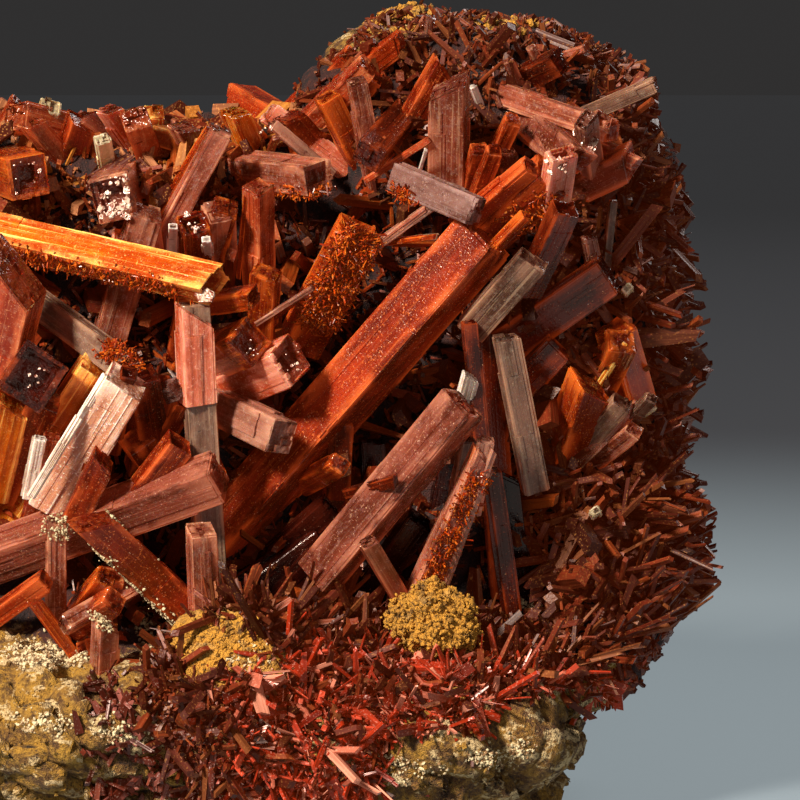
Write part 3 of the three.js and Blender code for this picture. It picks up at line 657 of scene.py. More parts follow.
LESSER = [
    ["red_chip", [15.0, -10.0, 26.6], [17.6, -17.0, 28.7], 1.5, 1.2, 20, "square", "ember"],
    ["side_blade", [19.8, -17.3, 26.9], [22.0, -20.5, 27.9], 0.9, 0.5, 10, "slant", "dark"],
    ["leaning_stub", [22.3, -14.0, 18.0], [19.7, -19.0, 23.1], 1.2, 1.0, 10, "square", "mauve"],
    ["fan_prism_1", [5.1, -9.0, 25.0], [2.3, -16.0, 30.5], 2.2, 2.0, 15, "square", "brick"],
    ["fan_prism_2", [-2.2, -14.0, 24.1], [-0.5, -17.5, 29.2], 1.9, 1.7, 15, "square", "dark"],
    ["orange_chip", [-1.8, -15.0, 18.0], [0.2, -19.0, 20.5], 1.5, 1.3, 20, "square", "ember"],
    ["amber_flake", [-8.6, -13.0, 27.8], [-6.6, -18.5, 33.9], 2.4, 1.4, 15, "slant", "amber"],
    ["brown_flake", [-7.6, -12.0, 27.7], [-4.4, -17.5, 33.7], 2.4, 1.8, 15, "square", "brick"],
    ["bright_facet", [-5.6, -14.0, 25.6], [-3.8, -18.0, 30.9], 1.2, 0.9, 15, "square", "rust"],
    ["gleam_prism", [-5.5, -10.0, 29.9], [-1.1, -15.0, 36.3], 1.6, 1.4, 15, "square", "amber"],
    ["hopper_rim_1", [0.9, -16.0, 31.5], [2.1, -20.5, 35.9], 1.1, 1.1, 10, "hollow", "dark"],
    ["hopper_rim_2", [2.9, -14.0, 30.2], [4.2, -17.5, 35.0], 2.0, 1.8, 25, "hollow", "dark"],
    ["hopper_rim_3", [3.9, -14.0, 29.8], [6.0, -17.0, 33.5], 1.4, 1.3, 25, "hollow", "dark"],
    ["ridge_blade_1", [7.6, -8.0, 43.9], [8.9, -12.0, 47.8], 1.9, 1.7, 10, "square", "ember"],
    ["ridge_blade_2", [11.5, -9.0, 37.8], [12.0, -13.0, 42.9], 2.0, 1.6, -15, "square", "ember"],
    ["ridge_blade_3", [5.1, -8.0, 37.7], [6.6, -12.0, 43.6], 1.5, 1.3, 10, "square", "brick"],
    ["rear_pink", [-0.6, -6.0, 38.0], [1.4, -11.0, 45.2], 2.2, 2.0, 12, "square", "rose"],
    ["brace_1", [27.5, -9.0, 47.4], [29.2, -14.0, 52.1], 1.1, 1.0, 20, "square", "brick"],
    ["brace_2", [28.7, -9.0, 50.0], [30.6, -13.0, 54.3], 1.2, 1.0, 20, "square", "brick"],
    ["brow_lath", [36.1, -8.0, 54.6], [41.4, -11.0, 57.0], 1.1, 0.9, 15, "square", "grey"],
    ["brow_chip", [34.4, -8.0, 52.0], [37.4, -14.0, 54.3], 1.5, 1.4, 30, "hollow", "mauve"],
    ["brow_side", [31.3, -7.0, 54.4], [34.1, -13.5, 52.2], 2.2, 1.8, 15, "square", "umber"],
    ["flank_lath_1", [34.6, -6.0, 27.0], [39.0, -12.0, 32.9], 1.6, 1.2, 15, "square", "grey"],
    ["flank_lath_2", [36.3, -5.0, 26.9], [40.0, -11.0, 30.7], 1.4, 1.1, 15, "square", "mauve"],
    ["flank_lath_3", [33.0, -6.0, 26.3], [36.3, -9.0, 32.9], 1.8, 1.3, 15, "square", "dark"],
    ["flank_chip_1", [39.7, -9.0, 31.1], [41.1, -14.0, 33.4], 0.9, 0.7, 10, "square", "grey"],
    ["dark_slab", [28.1, -8.0, 30.4], [34.3, -11.0, 37.1], 2.2, 1.8, 10, "square", "dark"],
    # These stand deep in the pocket and are painted near black as shade.
    ["under_diagonal_1", [9.0, -11.0, 14.4], [15.9, -14.0, 21.0], 2.0, 1.8, 20, "slant", "shadow"],
    ["under_diagonal_2", [8.6, -9.0, 17.3], [16.8, -13.0, 25.1], 1.8, 1.6, 15, "square", "shadow"],
    ["under_diagonal_3", [16.7, -10.0, 14.3], [23.6, -13.0, 24.0], 2.0, 1.7, 15, "square", "shadow"],
    ["shadow_post_1", [20.5, -7.0, 20.1], [19.9, -9.0, 29.7], 1.8, 1.6, 10, "square", "shadow"],
    ["shadow_post_2", [24.4, -7.0, 20.1], [26.1, -9.0, 29.7], 1.6, 1.4, 10, "square", "shadow"],
    ["shadow_post_3", [31.4, -9.0, 18.0], [30.2, -12.0, 27.7], 1.6, 1.4, 10, "slant", "shadow"],
    ["spar_twin", [24.5, -13.0, 18.6], [27.9, -17.0, 26.9], 1.1, 0.9, 20, "slant", "brick"],
    ["thin_blade", [-1.7, -17.0, 13.3], [-5.2, -20.5, 19.2], 0.9, 0.5, 10, "slant", "ember"],
    ["ledge_stub", [2.3, -17.0, 26.0], [5.9, -19.5, 30.7], 2.0, 1.8, 25, "hollow", "brick"],
    ["pin_1", [11.5, -10.0, 38.6], [15.2, -14.0, 41.5], 0.35, 0.3, 0, "slant", "ember"],
    ["pin_2", [20.6, -12.0, 45.1], [24.2, -15.0, 47.9], 0.4, 0.35, 0, "slant", "mauve"],
    ["pin_3", [21.8, -12.0, 45.1], [24.8, -16.0, 45.7], 0.4, 0.3, 0, "slant", "ember"],
    ["pin_4", [7.7, -14.0, 30.2], [9.1, -17.5, 27.7], 0.3, 0.3, 0, "slant", "ember"],
    ["pin_5", [9.8, -8.0, 43.7], [10.4, -12.0, 48.6], 0.35, 0.3, 0, "slant", "ember"],
    ["saddle_1", [-3.5, -3.0, 50.3], [-6.5, -8.0, 54.4], 1.6, 1.3, 30, "slant", "rust"],
    ["saddle_2", [1.2, -1.0, 51.6], [-2.8, -6.0, 54.7], 1.7, 1.4, 40, "slant", "umber"],
    ["saddle_3", [2.5, -2.0, 51.1], [1.8, -8.0, 54.4], 2.0, 1.8, 10, "square", "rust"],
    ["saddle_4", [6.8, -3.0, 50.5], [5.2, -7.0, 54.1], 1.7, 1.5, 25, "slant", "mauve"],
    ["saddle_5", [11.7, 0.0, 51.0], [9.3, -4.0, 54.2], 2.0, 1.7, 20, "square", "ember"],
    ["saddle_6", [15.8, -3.0, 51.9], [13.3, -7.0, 54.9], 1.8, 1.5, 20, "slant", "brick"],
    ["rise_1", [16.6, -2.0, 54.2], [19.9, -6.0, 58.1], 2.2, 1.8, 20, "square", "brick"],
    ["rise_2", [18.4, -4.0, 51.9], [16.4, -7.0, 56.1], 1.6, 1.3, 20, "square", "ember"],
    ["rise_3", [19.9, -6.0, 51.2], [18.8, -10.0, 57.3], 1.4, 1.3, 15, "square", "mauve"],
    ["rise_4", [22.1, -6.0, 52.7], [25.6, -9.0, 58.8], 1.8, 1.6, 25, "slant", "brick"],
    ["rise_5", [29.9, -4.0, 56.6], [34.3, -9.0, 58.8], 1.8, 1.5, 20, "square", "dark"],
    ["rise_6", [22.5, 0.0, 58.9], [24.4, -3.0, 61.8], 1.3, 1.1, 20, "square", "umber"],
    ["post_head", [6.9, -18.3, 36.3], [6.8, -19.4, 40.9], 2.3, 1.9, 20, "slant", "rose"],
    ["diagonal_lath", [27.4, -14.0, 42.9], [31.5, -17.5, 47.4], 1.0, 0.8, 50, "square", "ember"],
    ["crusted_chunk", [32.6, -15.0, 43.7], [34.4, -18.5, 48.0], 1.9, 1.5, 30, "hollow", "dark"],
    ["shadow_lath_1", [28.2, -13.0, 30.1], [27.3, -15.5, 39.3], 1.1, 0.9, 10, "square", "dark"],
    ["shadow_lath_2", [30.3, -12.5, 19.7], [29.1, -14.5, 28.0], 1.2, 0.9, 10, "square", "dark"],
    # a white chip as a painted glint
    ["bright_chip", [26.9, -14.0, 33.1], [27.5, -16.0, 35.6], 1.3, 0.5, 20, "slant", "pearl"],
    ["slate_chip", [26.8, -15.0, 28.0], [27.2, -16.5, 30.5], 1.3, 0.7, 30, "square", "grey"],
    ["spar_strand_1", [25.1, -16.0, 21.3], [27.9, -19.5, 30.3], 0.55, 0.5, 20, "slant", "rust"],
    ["spar_strand_2", [26.0, -16.0, 20.9], [29.1, -19.8, 30.2], 0.5, 0.5, 30, "slant", "salmon"],
    ["spar_tip", [27.9, -18.0, 27.6], [28.5, -19.6, 30.8], 1.2, 0.8, 10, "square", "salmon"],
    ["mauve_block", [8.3, -7.0, 43.3], [8.4, -12.0, 47.5], 2.1, 2.0, 20, "square", "mauve"],
    ["small_hopper", [6.4, -8.0, 43.4], [6.5, -13.5, 46.7], 2.1, 1.8, 25, "hollow", "ember"],
    ["pearl_rim_1", [4.6, -9.0, 43.4], [5.0, -13.6, 46.4], 0.7, 0.5, 10, "square", "pearl"],
    ["pearl_rim_2", [7.4, -9.0, 43.9], [7.5, -13.8, 45.4], 0.7, 0.5, 10, "square", "pearl"],
    ["tan_lath_1", [24.0, -2.0, 58.5], [24.4, -5.0, 62.1], 0.55, 0.4, 10, "square", "salmon"],
    ["tan_lath_2", [28.8, -7.0, 54.1], [27.6, -10.0, 56.9], 0.5, 0.4, 10, "square", "pearl"],
    ["pink_lath", [19.9, -7.0, 52.8], [18.8, -10.0, 57.3], 0.95, 0.7, 10, "square", "salmon"],
    ["slope_spar_1", [16.0, -4.0, 54.9], [19.6, -8.0, 58.4], 1.7, 1.4, 20, "square", "rust"],
    ["slope_spar_2", [18.4, -3.0, 57.5], [22.4, -7.0, 60.4], 1.6, 1.2, 20, "slant", "brick"],
    ["slope_blade", [21.5, -10.0, 51.0], [24.4, -12.5, 52.9], 0.5, 0.4, 10, "square", "rust"],
    ["white_blade", [23.9, -12.0, 51.5], [24.1, -13.0, 52.2], 0.3, 0.25, 10, "slant", "pearl"],
    ["crown_prism_1", [27.5, -9.0, 49.3], [28.1, -13.0, 52.2], 1.3, 1.1, 20, "square", "brick"],
    ["crown_prism_2", [29.3, -9.0, 52.2], [30.6, -12.0, 54.6], 0.9, 0.8, 20, "square", "brick"],
    ["crown_wedge", [30.7, -8.0, 49.2], [29.9, -12.5, 52.4], 1.6, 1.1, 20, "slant", "umber"],
    ["rear_shoulder", [28.4, -14.0, 47.9], [31.8, -16.6, 50.9], 1.5, 1.2, 40, "square", "brick"],
    ["crown_lath_1", [33.9, -5.0, 56.9], [32.1, -8.0, 59.9], 0.75, 0.5, 10, "square", "mauve"],
    ["crown_lath_2", [31.8, -6.0, 56.0], [30.3, -9.0, 58.9], 0.8, 0.5, 10, "square", "mauve"],
    ["crown_lath_3", [33.4, -3.0, 58.9], [36.4, -6.0, 59.8], 0.6, 0.5, 10, "square", "mauve"],
    ["brow_top", [31.3, -9.0, 55.8], [36.0, -14.5, 54.2], 1.5, 1.2, 15, "square", "mauve"],
    ["pale_brow", [36.5, -12.0, 51.9], [35.9, -17.0, 54.4], 1.7, 1.0, 40, "square", "salmon"],
    ["glassy_end", [33.8, -14.0, 48.7], [34.1, -18.0, 52.0], 2.2, 1.2, 30, "hollow", "rose"],
    ["corner_edge", [37.9, -9.0, 52.0], [40.2, -13.0, 50.9], 1.0, 0.6, 20, "slant", "mauve"],
    ["skyline_beam", [15.7, -4.0, 52.1], [11.9, -6.0, 54.9], 1.5, 1.3, 20, "square", "rose"],
    ["skyline_edge", [14.8, -6.0, 51.8], [12.3, -7.6, 54.0], 0.8, 0.6, 20, "square", "salmon"],
    ["skyline_block", [-3.8, -3.0, 51.3], [-2.3, -7.0, 54.6], 2.1, 1.5, 35, "slant", "brick"],
    ["skyline_cream", [-6.1, -2.0, 53.3], [-5.0, -5.0, 55.4], 1.6, 1.2, 20, "square", "cream"],
    ["skyline_chip", [-0.7, -5.0, 50.8], [-0.8, -8.0, 52.9], 1.1, 0.9, 20, "square", "cream"],
    ["skyline_tan", [1.7, -2.0, 53.6], [7.0, -6.0, 52.1], 1.6, 1.2, 20, "square", "tan"],
    ["skyline_lump_1", [2.4, -1.0, 52.7], [3.0, -4.0, 54.9], 1.5, 1.3, 20, "square", "amber"],
    ["skyline_lump_2", [-9.1, -1.0, 53.1], [-7.4, -4.0, 55.7], 1.5, 1.2, 30, "slant", "rust"],
    ["skyline_lump_3", [1.0, -3.0, 52.7], [-0.6, -6.0, 55.4], 1.6, 1.2, 40, "slant", "rose"],
    ["skyline_lump_4", [10.2, -3.0, 52.6], [9.2, -6.0, 55.2], 1.7, 1.4, 40, "slant", "amber"],
    ["saddle_lath", [4.5, -9.0, 46.2], [8.6, -11.5, 53.5], 1.6, 1.2, 15, "square", "mauve"],
    ["pink_stub", [2.9, -8.0, 43.4], [2.7, -12.0, 47.1], 2.2, 1.6, 10, "square", "rose"],
    ["druse_lath_1", [20.6, -12.0, 45.0], [24.6, -15.0, 48.0], 0.65, 0.4, 15, "square", "salmon"],
    ["druse_lath_2", [22.1, -12.0, 45.3], [25.0, -14.5, 45.6], 0.45, 0.35, 10, "square", "grey"],
    ["fan_lath", [12.6, -12.0, 39.8], [15.6, -14.5, 41.8], 0.4, 0.35, 15, "square", "salmon"],
    ["amber_tip", [9.6, -17.0, 41.0], [11.6, -19.2, 41.4], 1.5, 1.2, 30, "slant", "ember"],
    # a thin white sliver and a white facet as painted highlight on the pale prism's lit left edge
    ["pearl_sliver", [-3.8, -19.5, 28.9], [0.5, -21.2, 35.8], 0.5, 0.35, 40, "square", "pearl"],
    ["pearl_facet", [-5.3, -17.0, 28.3], [-4.6, -19.0, 30.9], 0.9, 0.6, 10, "square", "pearl"],
    ["wedge_stub", [-1.5, -18.0, 26.1], [0.4, -20.6, 29.8], 1.8, 1.4, 10, "slant", "brick"],
    ["hopper_cluster", [3.3, -15.0, 31.1], [2.9, -19.4, 35.7], 2.3, 1.9, 20, "hollow", "dark"],
    ["hopper_shelf", [3.3, -15.0, 33.5], [5.6, -18.5, 34.5], 1.4, 1.1, 20, "square", "slate"],
    ["low_lath_1", [-8.4, -16.0, 17.1], [-4.3, -19.0, 20.2], 1.4, 1.2, 20, "square", "brick"],
    ["low_lath_2", [1.7, -17.0, 19.3], [-2.8, -21.0, 17.1], 1.3, 1.1, 20, "square", "mauve"],
    ["low_lath_3", [-0.9, -15.0, 16.5], [0.6, -18.0, 20.5], 1.8, 1.5, 20, "square", "rust"],
    ["low_lath_4", [0.9, -15.0, 15.1], [-1.6, -19.0, 15.0], 1.3, 1.1, 20, "square", "brick"],
    ["flank_lath_4", [35.3, -8.0, 27.3], [40.4, -11.0, 32.7], 0.9, 0.6, 15, "square", "mauve"],
    ["flank_lath_5", [38.0, -8.0, 43.4], [38.4, -10.0, 48.2], 0.6, 0.5, 10, "square", "grey"],
    ["flank_lath_6", [37.0, -9.0, 33.4], [39.3, -11.0, 37.4], 0.4, 0.3, 15, "square", "amber"],
    ["flank_chip_2", [40.9, -7.0, 31.9], [41.1, -12.0, 32.7], 1.0, 0.8, 20, "square", "cream"],
    ["flank_chip_3", [37.1, -9.0, 23.9], [36.9, -14.0, 24.8], 0.8, 0.6, 20, "square", "cream"],
    ["flank_chip_4", [39.8, -5.0, 40.8], [39.5, -10.0, 41.5], 0.8, 0.6, 20, "square", "cream"],
    ["flank_chip_5", [36.9, -9.0, 43.9], [36.4, -11.0, 45.7], 1.1, 0.6, 30, "slant", "salmon"],
    ["flank_block", [40.0, -6.0, 34.1], [38.6, -10.0, 38.3], 2.6, 2.0, 30, "square", "ember"],
]
for seed, (name, foot, tip, wide, thick, turn, end, kind) in enumerate(LESSER):
    prism = striated_prism(name, foot, tip, wide, thick, turn, end, 200 + seed)
    prism.data.materials.append(KINDS[kind])
    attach(prism, "root")

# ---------------------------------------------------------------------------------------
# Thickets. Thousands of small crystals of the same mineral, as fine as needles on the right
# and stouter on the top and left, cover the matrix between the large prisms.


def outside_large(points):
    """Which points in mm are outside every large prism."""
    clear = np.ones(len(points), bool)
    for place, half_wide, half_thick, length in large_crystals:
        back = np.array(place.inverted())
        local = points @ back[:3, :3].T + back[:3, 3]
        within = (np.abs(local[:, 0]) < half_wide) & (np.abs(local[:, 1]) < half_thick)
        clear &= ~(within & (local[:, 2] > -ROOT) & (local[:, 2] < length))
    return clear


def surface(thing):
    """The middles, directions and areas of a piece's faces, in mm, for crystals to grow on."""
    faces = thing.data.polygons
    return read(faces, "center") / MM, read(faces, "normal"), read(faces, "area", 1)[:, 0]


ground = surface(matrix)
ground_at, ground_up = ground[:2]
ground_clear = outside_large(ground_at) & (ground_at[:, 2] > 0.8)

# The specimen's outline from the front, as x and z in mm where it crosses FOCUS
OUTLINE = np.array([
    [-47.5, 0], [-47.5, 57], [-36, 58.5], [-30, 56.5], [-20, 56], [-8, 55.9], [-4.5, 55.7],
    [-3.4, 54.5], [-0.4, 55], [3, 55], [5.3, 54.8], [6.4, 53.8], [9.4, 54.8], [12, 55.3],
    [13.9, 55.3], [15.8, 57.5], [18, 60], [19.9, 62.2], [22.9, 63], [33, 62], [37.5, 60.2],
    [40.1, 58.9], [41.3, 57], [41.3, 54.4], [42.4, 52.1], [44, 48.4], [43.9, 45.8],
    [45.4, 42.4], [45.8, 39.4], [46, 37.5], [45.2, 34.8], [44, 33.8], [45.1, 32.3], [45, 30.5],
    [43.2, 28.6], [45.5, 27.2], [45.1, 25.8], [47.8, 25.5], [47.4, 22.7], [47.2, 20.8],
    [45.5, 18.3], [43.7, 17.3], [42.2, 15.4], [41.5, 13.7], [39.4, 13.3], [38.9, 10.2],
    [37.4, 9.8], [36.5, 8.9], [35.1, 6.6], [34.4, 4.7], [31.7, 5.2], [28.7, 4], [26, 0],
])
EYE = np.array([22.1, -282, 56.7])
FOCUS = -16


def seen(points):
    """Where points in mm show from the front, as x and z at FOCUS."""
    return (EYE + (points - EYE) * ((FOCUS - EYE[1]) / (points[:, 1:2] - EYE[1])))[:, ::2]


def in_outline(points):
    """Which points in mm show inside the specimen's outline from the front."""
    x, z = seen(points).T
    crossings = np.zeros(len(points), int)
    for (x0, z0), (x1, z1) in zip(OUTLINE, np.roll(OUTLINE, -1, axis=0)):
        between = (z0 > z) != (z1 > z)
        if z0 != z1:
            crossings += between & (x < x0 + (z - z0) * (x1 - x0) / (z1 - z0))
    return crossings % 2 == 1


def in_box(points):
    """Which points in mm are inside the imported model's box."""
    low, high = (np.array(corner) / MM for corner in cad_box)
    return ((points > low) & (points < high)).all(1)


def unit(vectors):
    return vectors / np.linalg.norm(vectors, axis=1, keepdims=True)


def grown(name, random, soil, chance, count, long, wide, lean, sides=1, flat=0.7, slide=None):
    """A joined mesh of closed prisms, rooted where chance allows and leaning all ways."""
    at, up, area = soil
    odds = chance * area
    rooted = random.choice(len(odds), count, p=odds / odds.sum())
    along = unit(up[rooted] + lean * unit(random.normal(size=(count, 3))))
    side = unit(np.cross(along, unit(random.normal(size=(count, 3)))))
    front = np.cross(along, side)
    length = random.uniform(*long, count) * random.uniform(0.7, 1.1, count)
    breadth = random.uniform(*wide, count)
    depth = breadth * random.uniform(flat, 1.0, count)
    root = at[rooted] + random.normal(size=(count, 3)) * (0.15 if slide is None else 0.07)
    if slide is not None:
        root += random.normal(size=(count, 1)) * slide
    tips = root + along * length[:, None]
    kept = in_outline(tips) & in_box(tips)
    along, side, front, root = (rows[kept] for rows in (along, side, front, root))
    length, breadth, depth = (rows[kept] for rows in (length, breadth, depth))
    count = len(root)

    steps = np.linspace(-1, 1, sides + 1)[:-1]
    ring = np.concatenate([
        np.stack([steps, -np.ones(sides)], 1), np.stack([np.ones(sides), steps], 1),
        np.stack([-steps, np.ones(sides)], 1), np.stack([-np.ones(sides), -steps], 1),
    ])
    around = len(ring)
    groove = 1 - (0.09 if sides > 1 else 0) * random.random((count, around, 1))
    across = ring[None] * groove * np.stack([breadth, depth], 1)[:, None] / 2
    taper = random.choice([1.0, 1.0, 0.8, 0.45], (count, 1, 1))
    slope = random.uniform(-0.9, 0.9, (count, 2))
    low = np.concatenate([across, np.full((count, around, 1), -0.5)], 2)
    tilt = np.einsum("cij,cj->ci", across * taper, slope)[..., None]
    high = np.concatenate([across * taper, length[:, None, None] + tilt], 2)
    local = np.concatenate([low, high], 1)
    axes = np.stack([side, front, along], 1)
    at = root[:, None] + np.einsum("cij,cjk->cik", local, axes)

    index = np.arange(around)
    following = (index + 1) % around
    walls = np.stack([index, following, following + around, index + around], 1)
    first = np.arange(count)[:, None, None] * 2 * around
    wall_loops = (walls[None] + first).reshape(count, -1)
    cap_loops = np.concatenate([index[::-1], index + around])[None] + first[:, 0]
    loops = np.concatenate([wall_loops, cap_loops], 1).ravel()
    sizes = np.tile([4] * around + [around] * 2, count)
    mesh = bpy.data.meshes.new(name)
    mesh.vertices.add(at.shape[0] * at.shape[1])
    mesh.vertices.foreach_set("co", (at * MM).ravel())
    mesh.loops.add(len(loops))
    mesh.loops.foreach_set("vertex_index", loops)
    mesh.polygons.add(len(sizes))
    mesh.polygons.foreach_set("loop_start", np.concatenate([[0], np.cumsum(sizes)[:-1]]))
    mesh.update(calc_edges=True)
    mesh.shade_flat()
    shift = random.uniform(-50, 50, (count, 1, 3))
    write_attribute(mesh, "grain", (local + shift).reshape(-1, 3))
    write_attribute(mesh, "tone", np.repeat(random.random(count), 2 * around))
    thicket = bpy.data.objects.new(name, mesh)
    bpy.context.scene.collection.objects.link(thicket)
    return thicket


def joined(name, pieces):
    """These objects as one."""
    bpy.ops.object.select_all(action="DESELECT")
    for piece in pieces:
        piece.select_set(True)
    bpy.context.view_layer.objects.active = pieces[0]
    bpy.ops.object.join()
    pieces[0].name = pieces[0].data.name = name
    return pieces[0]


def mixed_crystals(name, tones, film, dust=0.4, gloss=0.3, glow=1.0):
    """The look of a thicket: each small crystal takes one colour of the row by its tone."""
    # The emission, at the strength glow, is a painted glow, as of light passing through the crystals.
    fixed = {
        "IOR": 1.5, "Specular IOR Level": 0.3, "Specular Tint": GLASSY["Specular Tint"],
        "Emission Color": (0.014, 0.0016, 0.0001, 1.0), "Emission Strength": glow,
    }
    red = Finish(name, fixed)
    grain = red.attribute("grain", 1)
    tone = red.attribute("tone", 2)
    grooves = red.noise(grain.scaled((1, 1, 0.05)), 4, 1, 0.6)
    specks = red.noise(grain, 6, 1, 0.5)
    base = paint(tones[0])
    for step, colour in enumerate(tones[1:], 1):
        edge = step / len(tones)
        base = red.mix(tone.between(edge - 0.03, edge + 0.03), base, paint(colour))
    base = red.mix(grooves.between(0.3, 0.6) * 0.4, base, paint(0x2A0A03))
    base = red.mix(specks.between(0.6, 0.7) * dust, base, paint(film))
    return red.wear({
        "Base Color": base,
        "Roughness": gloss + 0.3 * specks,
        "Normal": red.bump(grooves, 0.08 * MM, 0.7),
    })


NEEDLE_TONES = [0x200603, 0x3A1006, 0x541A0A, 0x6C2610, 0x7A3214, 0x4A1E14, 0x784020, 0x380F05]
WARM_TONES = [0x3C1004, 0x641E08, 0x8A3810, 0x9E5024, 0xB07048, 0x4E1606, 0xB87028, 0x702A10]
thicket_red = mixed_crystals("druse", NEEDLE_TONES, 0xB87838, 0.3)
thicket_warm = mixed_crystals("warm_druse", WARM_TONES, 0xD09048, 0.4)

# Each thicket: its stretch, then for each size of crystal the count, the length and width
# in mm, how far it leans and the number of laths a side
THICKETS = {
    "right_flank": [
        (6300, (0.6, 2.2), (0.11, 0.36), 1.6, 1),
        (3000, (1.6, 4.0), (0.2, 0.6), 1.7, 1),
        (420, (2.2, 5.0), (0.4, 1.0), 1.8, 3),
        (150, (3.0, 6.0), (0.8, 1.6), 1.8, 3),
    ],
    "crown": [
        (4200, (0.5, 1.4), (0.1, 0.3), 1.7, 1),
        (1000, (1.2, 3.2), (0.2, 0.55), 1.9, 1),
        (150, (2.0, 4.4), (0.4, 0.9), 1.8, 3),
    ],
    "foot": [(4000, (0.6, 2.0), (0.11, 0.36), 1.7, 1), (800, (1.6, 4.6), (0.25, 0.7), 2.0, 3)],
    "saddle": [
        (3200, (0.5, 1.5), (0.12, 0.4), 1.4, 1),
        (500, (1.2, 3.4), (0.3, 0.9), 1.8, 1),
        (260, (1.8, 4.6), (0.9, 1.9), 1.9, 3),
    ],
    "left": [(3600, (0.6, 2.0), (0.12, 0.4), 1.3, 1), (460, (2.0, 6.0), (0.6, 2.0), 1.4, 3)],
    "rear": [(1800, (0.6, 2.0), (0.12, 0.4), 1.3, 1), (190, (2.0, 4.6), (0.5, 1.6), 1.4, 3)],
}
front_x, front_z = seen(ground_at).T
KNOBS = (([24.2, 16.6], [3.9, 3.0]), ([8.6, 14.6], [3.8, 2.5]))
off_knobs = np.ones(len(ground_at))
for middle, reach in KNOBS:
    away = np.linalg.norm((np.stack([front_x, front_z], 1) - middle) / reach, axis=1)
    off_knobs = np.minimum(off_knobs, np.maximum(smooth_step(away, 0.8, 1.1), ground_at[:, 1] > -14))
# the bare sole at the lower right, under a line that rises to the right
sole_height = np.interp(front_x, [19, 21, 28.5, 30, 36, 39], [-2, 7.4, 8.2, 11, 11, 9])
sole = smooth_step(front_z - sole_height, 0, 1.2)
sole = np.maximum(sole, ground_at[:, 1] > 6)
low_front = sole * off_knobs * ground_clear * (ground_at[:, 1] < -6)
heap = smooth_step(front_x, 7, 11) * smooth_step(-front_z - 0.1 * front_x, -17, -15) * low_front
for seed, (stretch, sizes) in enumerate(THICKETS.items()):
    random = np.random.default_rng(300 + seed)
    chance = smooth_step(inside(ground_at, stretch), 0.0, 0.1) * off_knobs * sole * ground_clear
    if stretch == "foot":
        chance *= 1 - 0.8 * heap
    parts = [
        grown(f"{stretch}_{i}", random, ground, chance, count, long, wide, lean, sides)
        for i, (count, long, wide, lean, sides) in enumerate(sizes)
    ]
    if stretch == "right_flank":
        corner = chance * (np.abs(front_z - 21) < 6) * smooth_step(front_x, 36, 39)
        parts.append(grown("spray", random, ground, corner, 600, (4, 8.5), (0.2, 0.6), 0.7, 2))
    thicket = joined(f"{stretch}_thicket", parts)
    thicket.data.materials.append(thicket_warm if stretch == "saddle" else thicket_red)
    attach(thicket, "root")
    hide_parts(f"{stretch}_druse")

# ---------------------------------------------------------------------------------------
# Pocket crystals. Middle-sized prisms that fill the hollow behind and between the large
# ones, many of them seen only by an edge that catches light.

POCKET_TONES = [0x2A0A03, 0x421005, 0x5E1A07, 0x7C280B, 0x4A2212, 0x8E3A10]
pocket_red = mixed_crystals("pocket_crystals", POCKET_TONES, 0xB87838, 0.3, 0.22, 0.4)
random = np.random.default_rng(400)
in_pocket = smooth_step(inside(ground_at, "pocket"), 0.0, 0.1) * (ground_up[:, 1] < 0.1)
in_pocket *= off_knobs * ground_clear
pocket = joined("pocket_thicket", [
    grown("pocket_0", random, ground, in_pocket, 3200, (0.6, 1.8), (0.12, 0.36), 1.3),
    grown("pocket_1", random, ground, in_pocket, 300, (2.0, 5.5), (0.4, 1.4), 1.4, 3),
])
pocket.data.materials.append(pocket_red)
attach(pocket, "root")

# ---------------------------------------------------------------------------------------
# Loose patches. On the back and the ends, where the thickets give out, small crystals stand
# in scattered patches straight on the limonite.

random = np.random.default_rng(405)
ground_x, ground_y, ground_z = ground_at.T
spread = np.sin(0.31 * ground_x + 1.4 * np.sin(0.17 * ground_z)) + np.sin(0.29 * ground_z + 1.1 * np.sin(0.2 * ground_x))
loose = (0.03 + smooth_step(spread, 0.5, 1.3)) * (ground_z > 4)
loose *= np.maximum(smooth_step(ground_y, 5, 12), smooth_step(-ground_x, 36, 39))
loose = joined("loose_patches", [
    grown("loose_0", random, ground, loose, 3000, (0.5, 1.7), (0.12, 0.4), 1.4),
    grown("loose_1", random, ground, loose, 260, (1.5, 4.0), (0.4, 1.2), 1.5, 3),
])
loose.data.materials.append(thicket_red)
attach(loose, "root")

# ---------------------------------------------------------------------------------------
# Red shards. Below the thicket at the foot, crystals broken off from above lie flat in a
# heap along the front of the matrix, brighter than the rest: light tones and a painted glow
# stand for the light that passes through.

# painted light: the lighter tones, the pale specks and a glow of 2.5 stand for light through the shards and
# glints on them
SHARD_TONES = [0x9A2810, 0xB84028, 0xD08468, 0x74180A, 0xB86048, 0xA8301A, 0x8A2410, 0x5A1408]
shard_red = mixed_crystals("red_shards", SHARD_TONES, 0xD89880, 0.3, 0.12, 2.5)
random = np.random.default_rng(410)
shards = joined("red_shards", [
    grown("shards_0", random, ground, heap, 5200, (0.5, 2.0), (0.06, 0.24), 2.2, 1, 0.3),
    grown("shards_1", random, ground, heap, 620, (1.8, 4.6), (0.2, 0.55), 2.8, 2, 0.3),
    grown("shards_2", random, ground, heap, 100, (1.6, 3.4), (0.7, 1.3), 3.0, 2, 0.12),
])
shards.data.materials.append(shard_red)
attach(shards, "root")

# ---------------------------------------------------------------------------------------
# Brown flakes. To the left of the heap, dull thin crystals lie in patches on the ledges of
# the bare limonite.

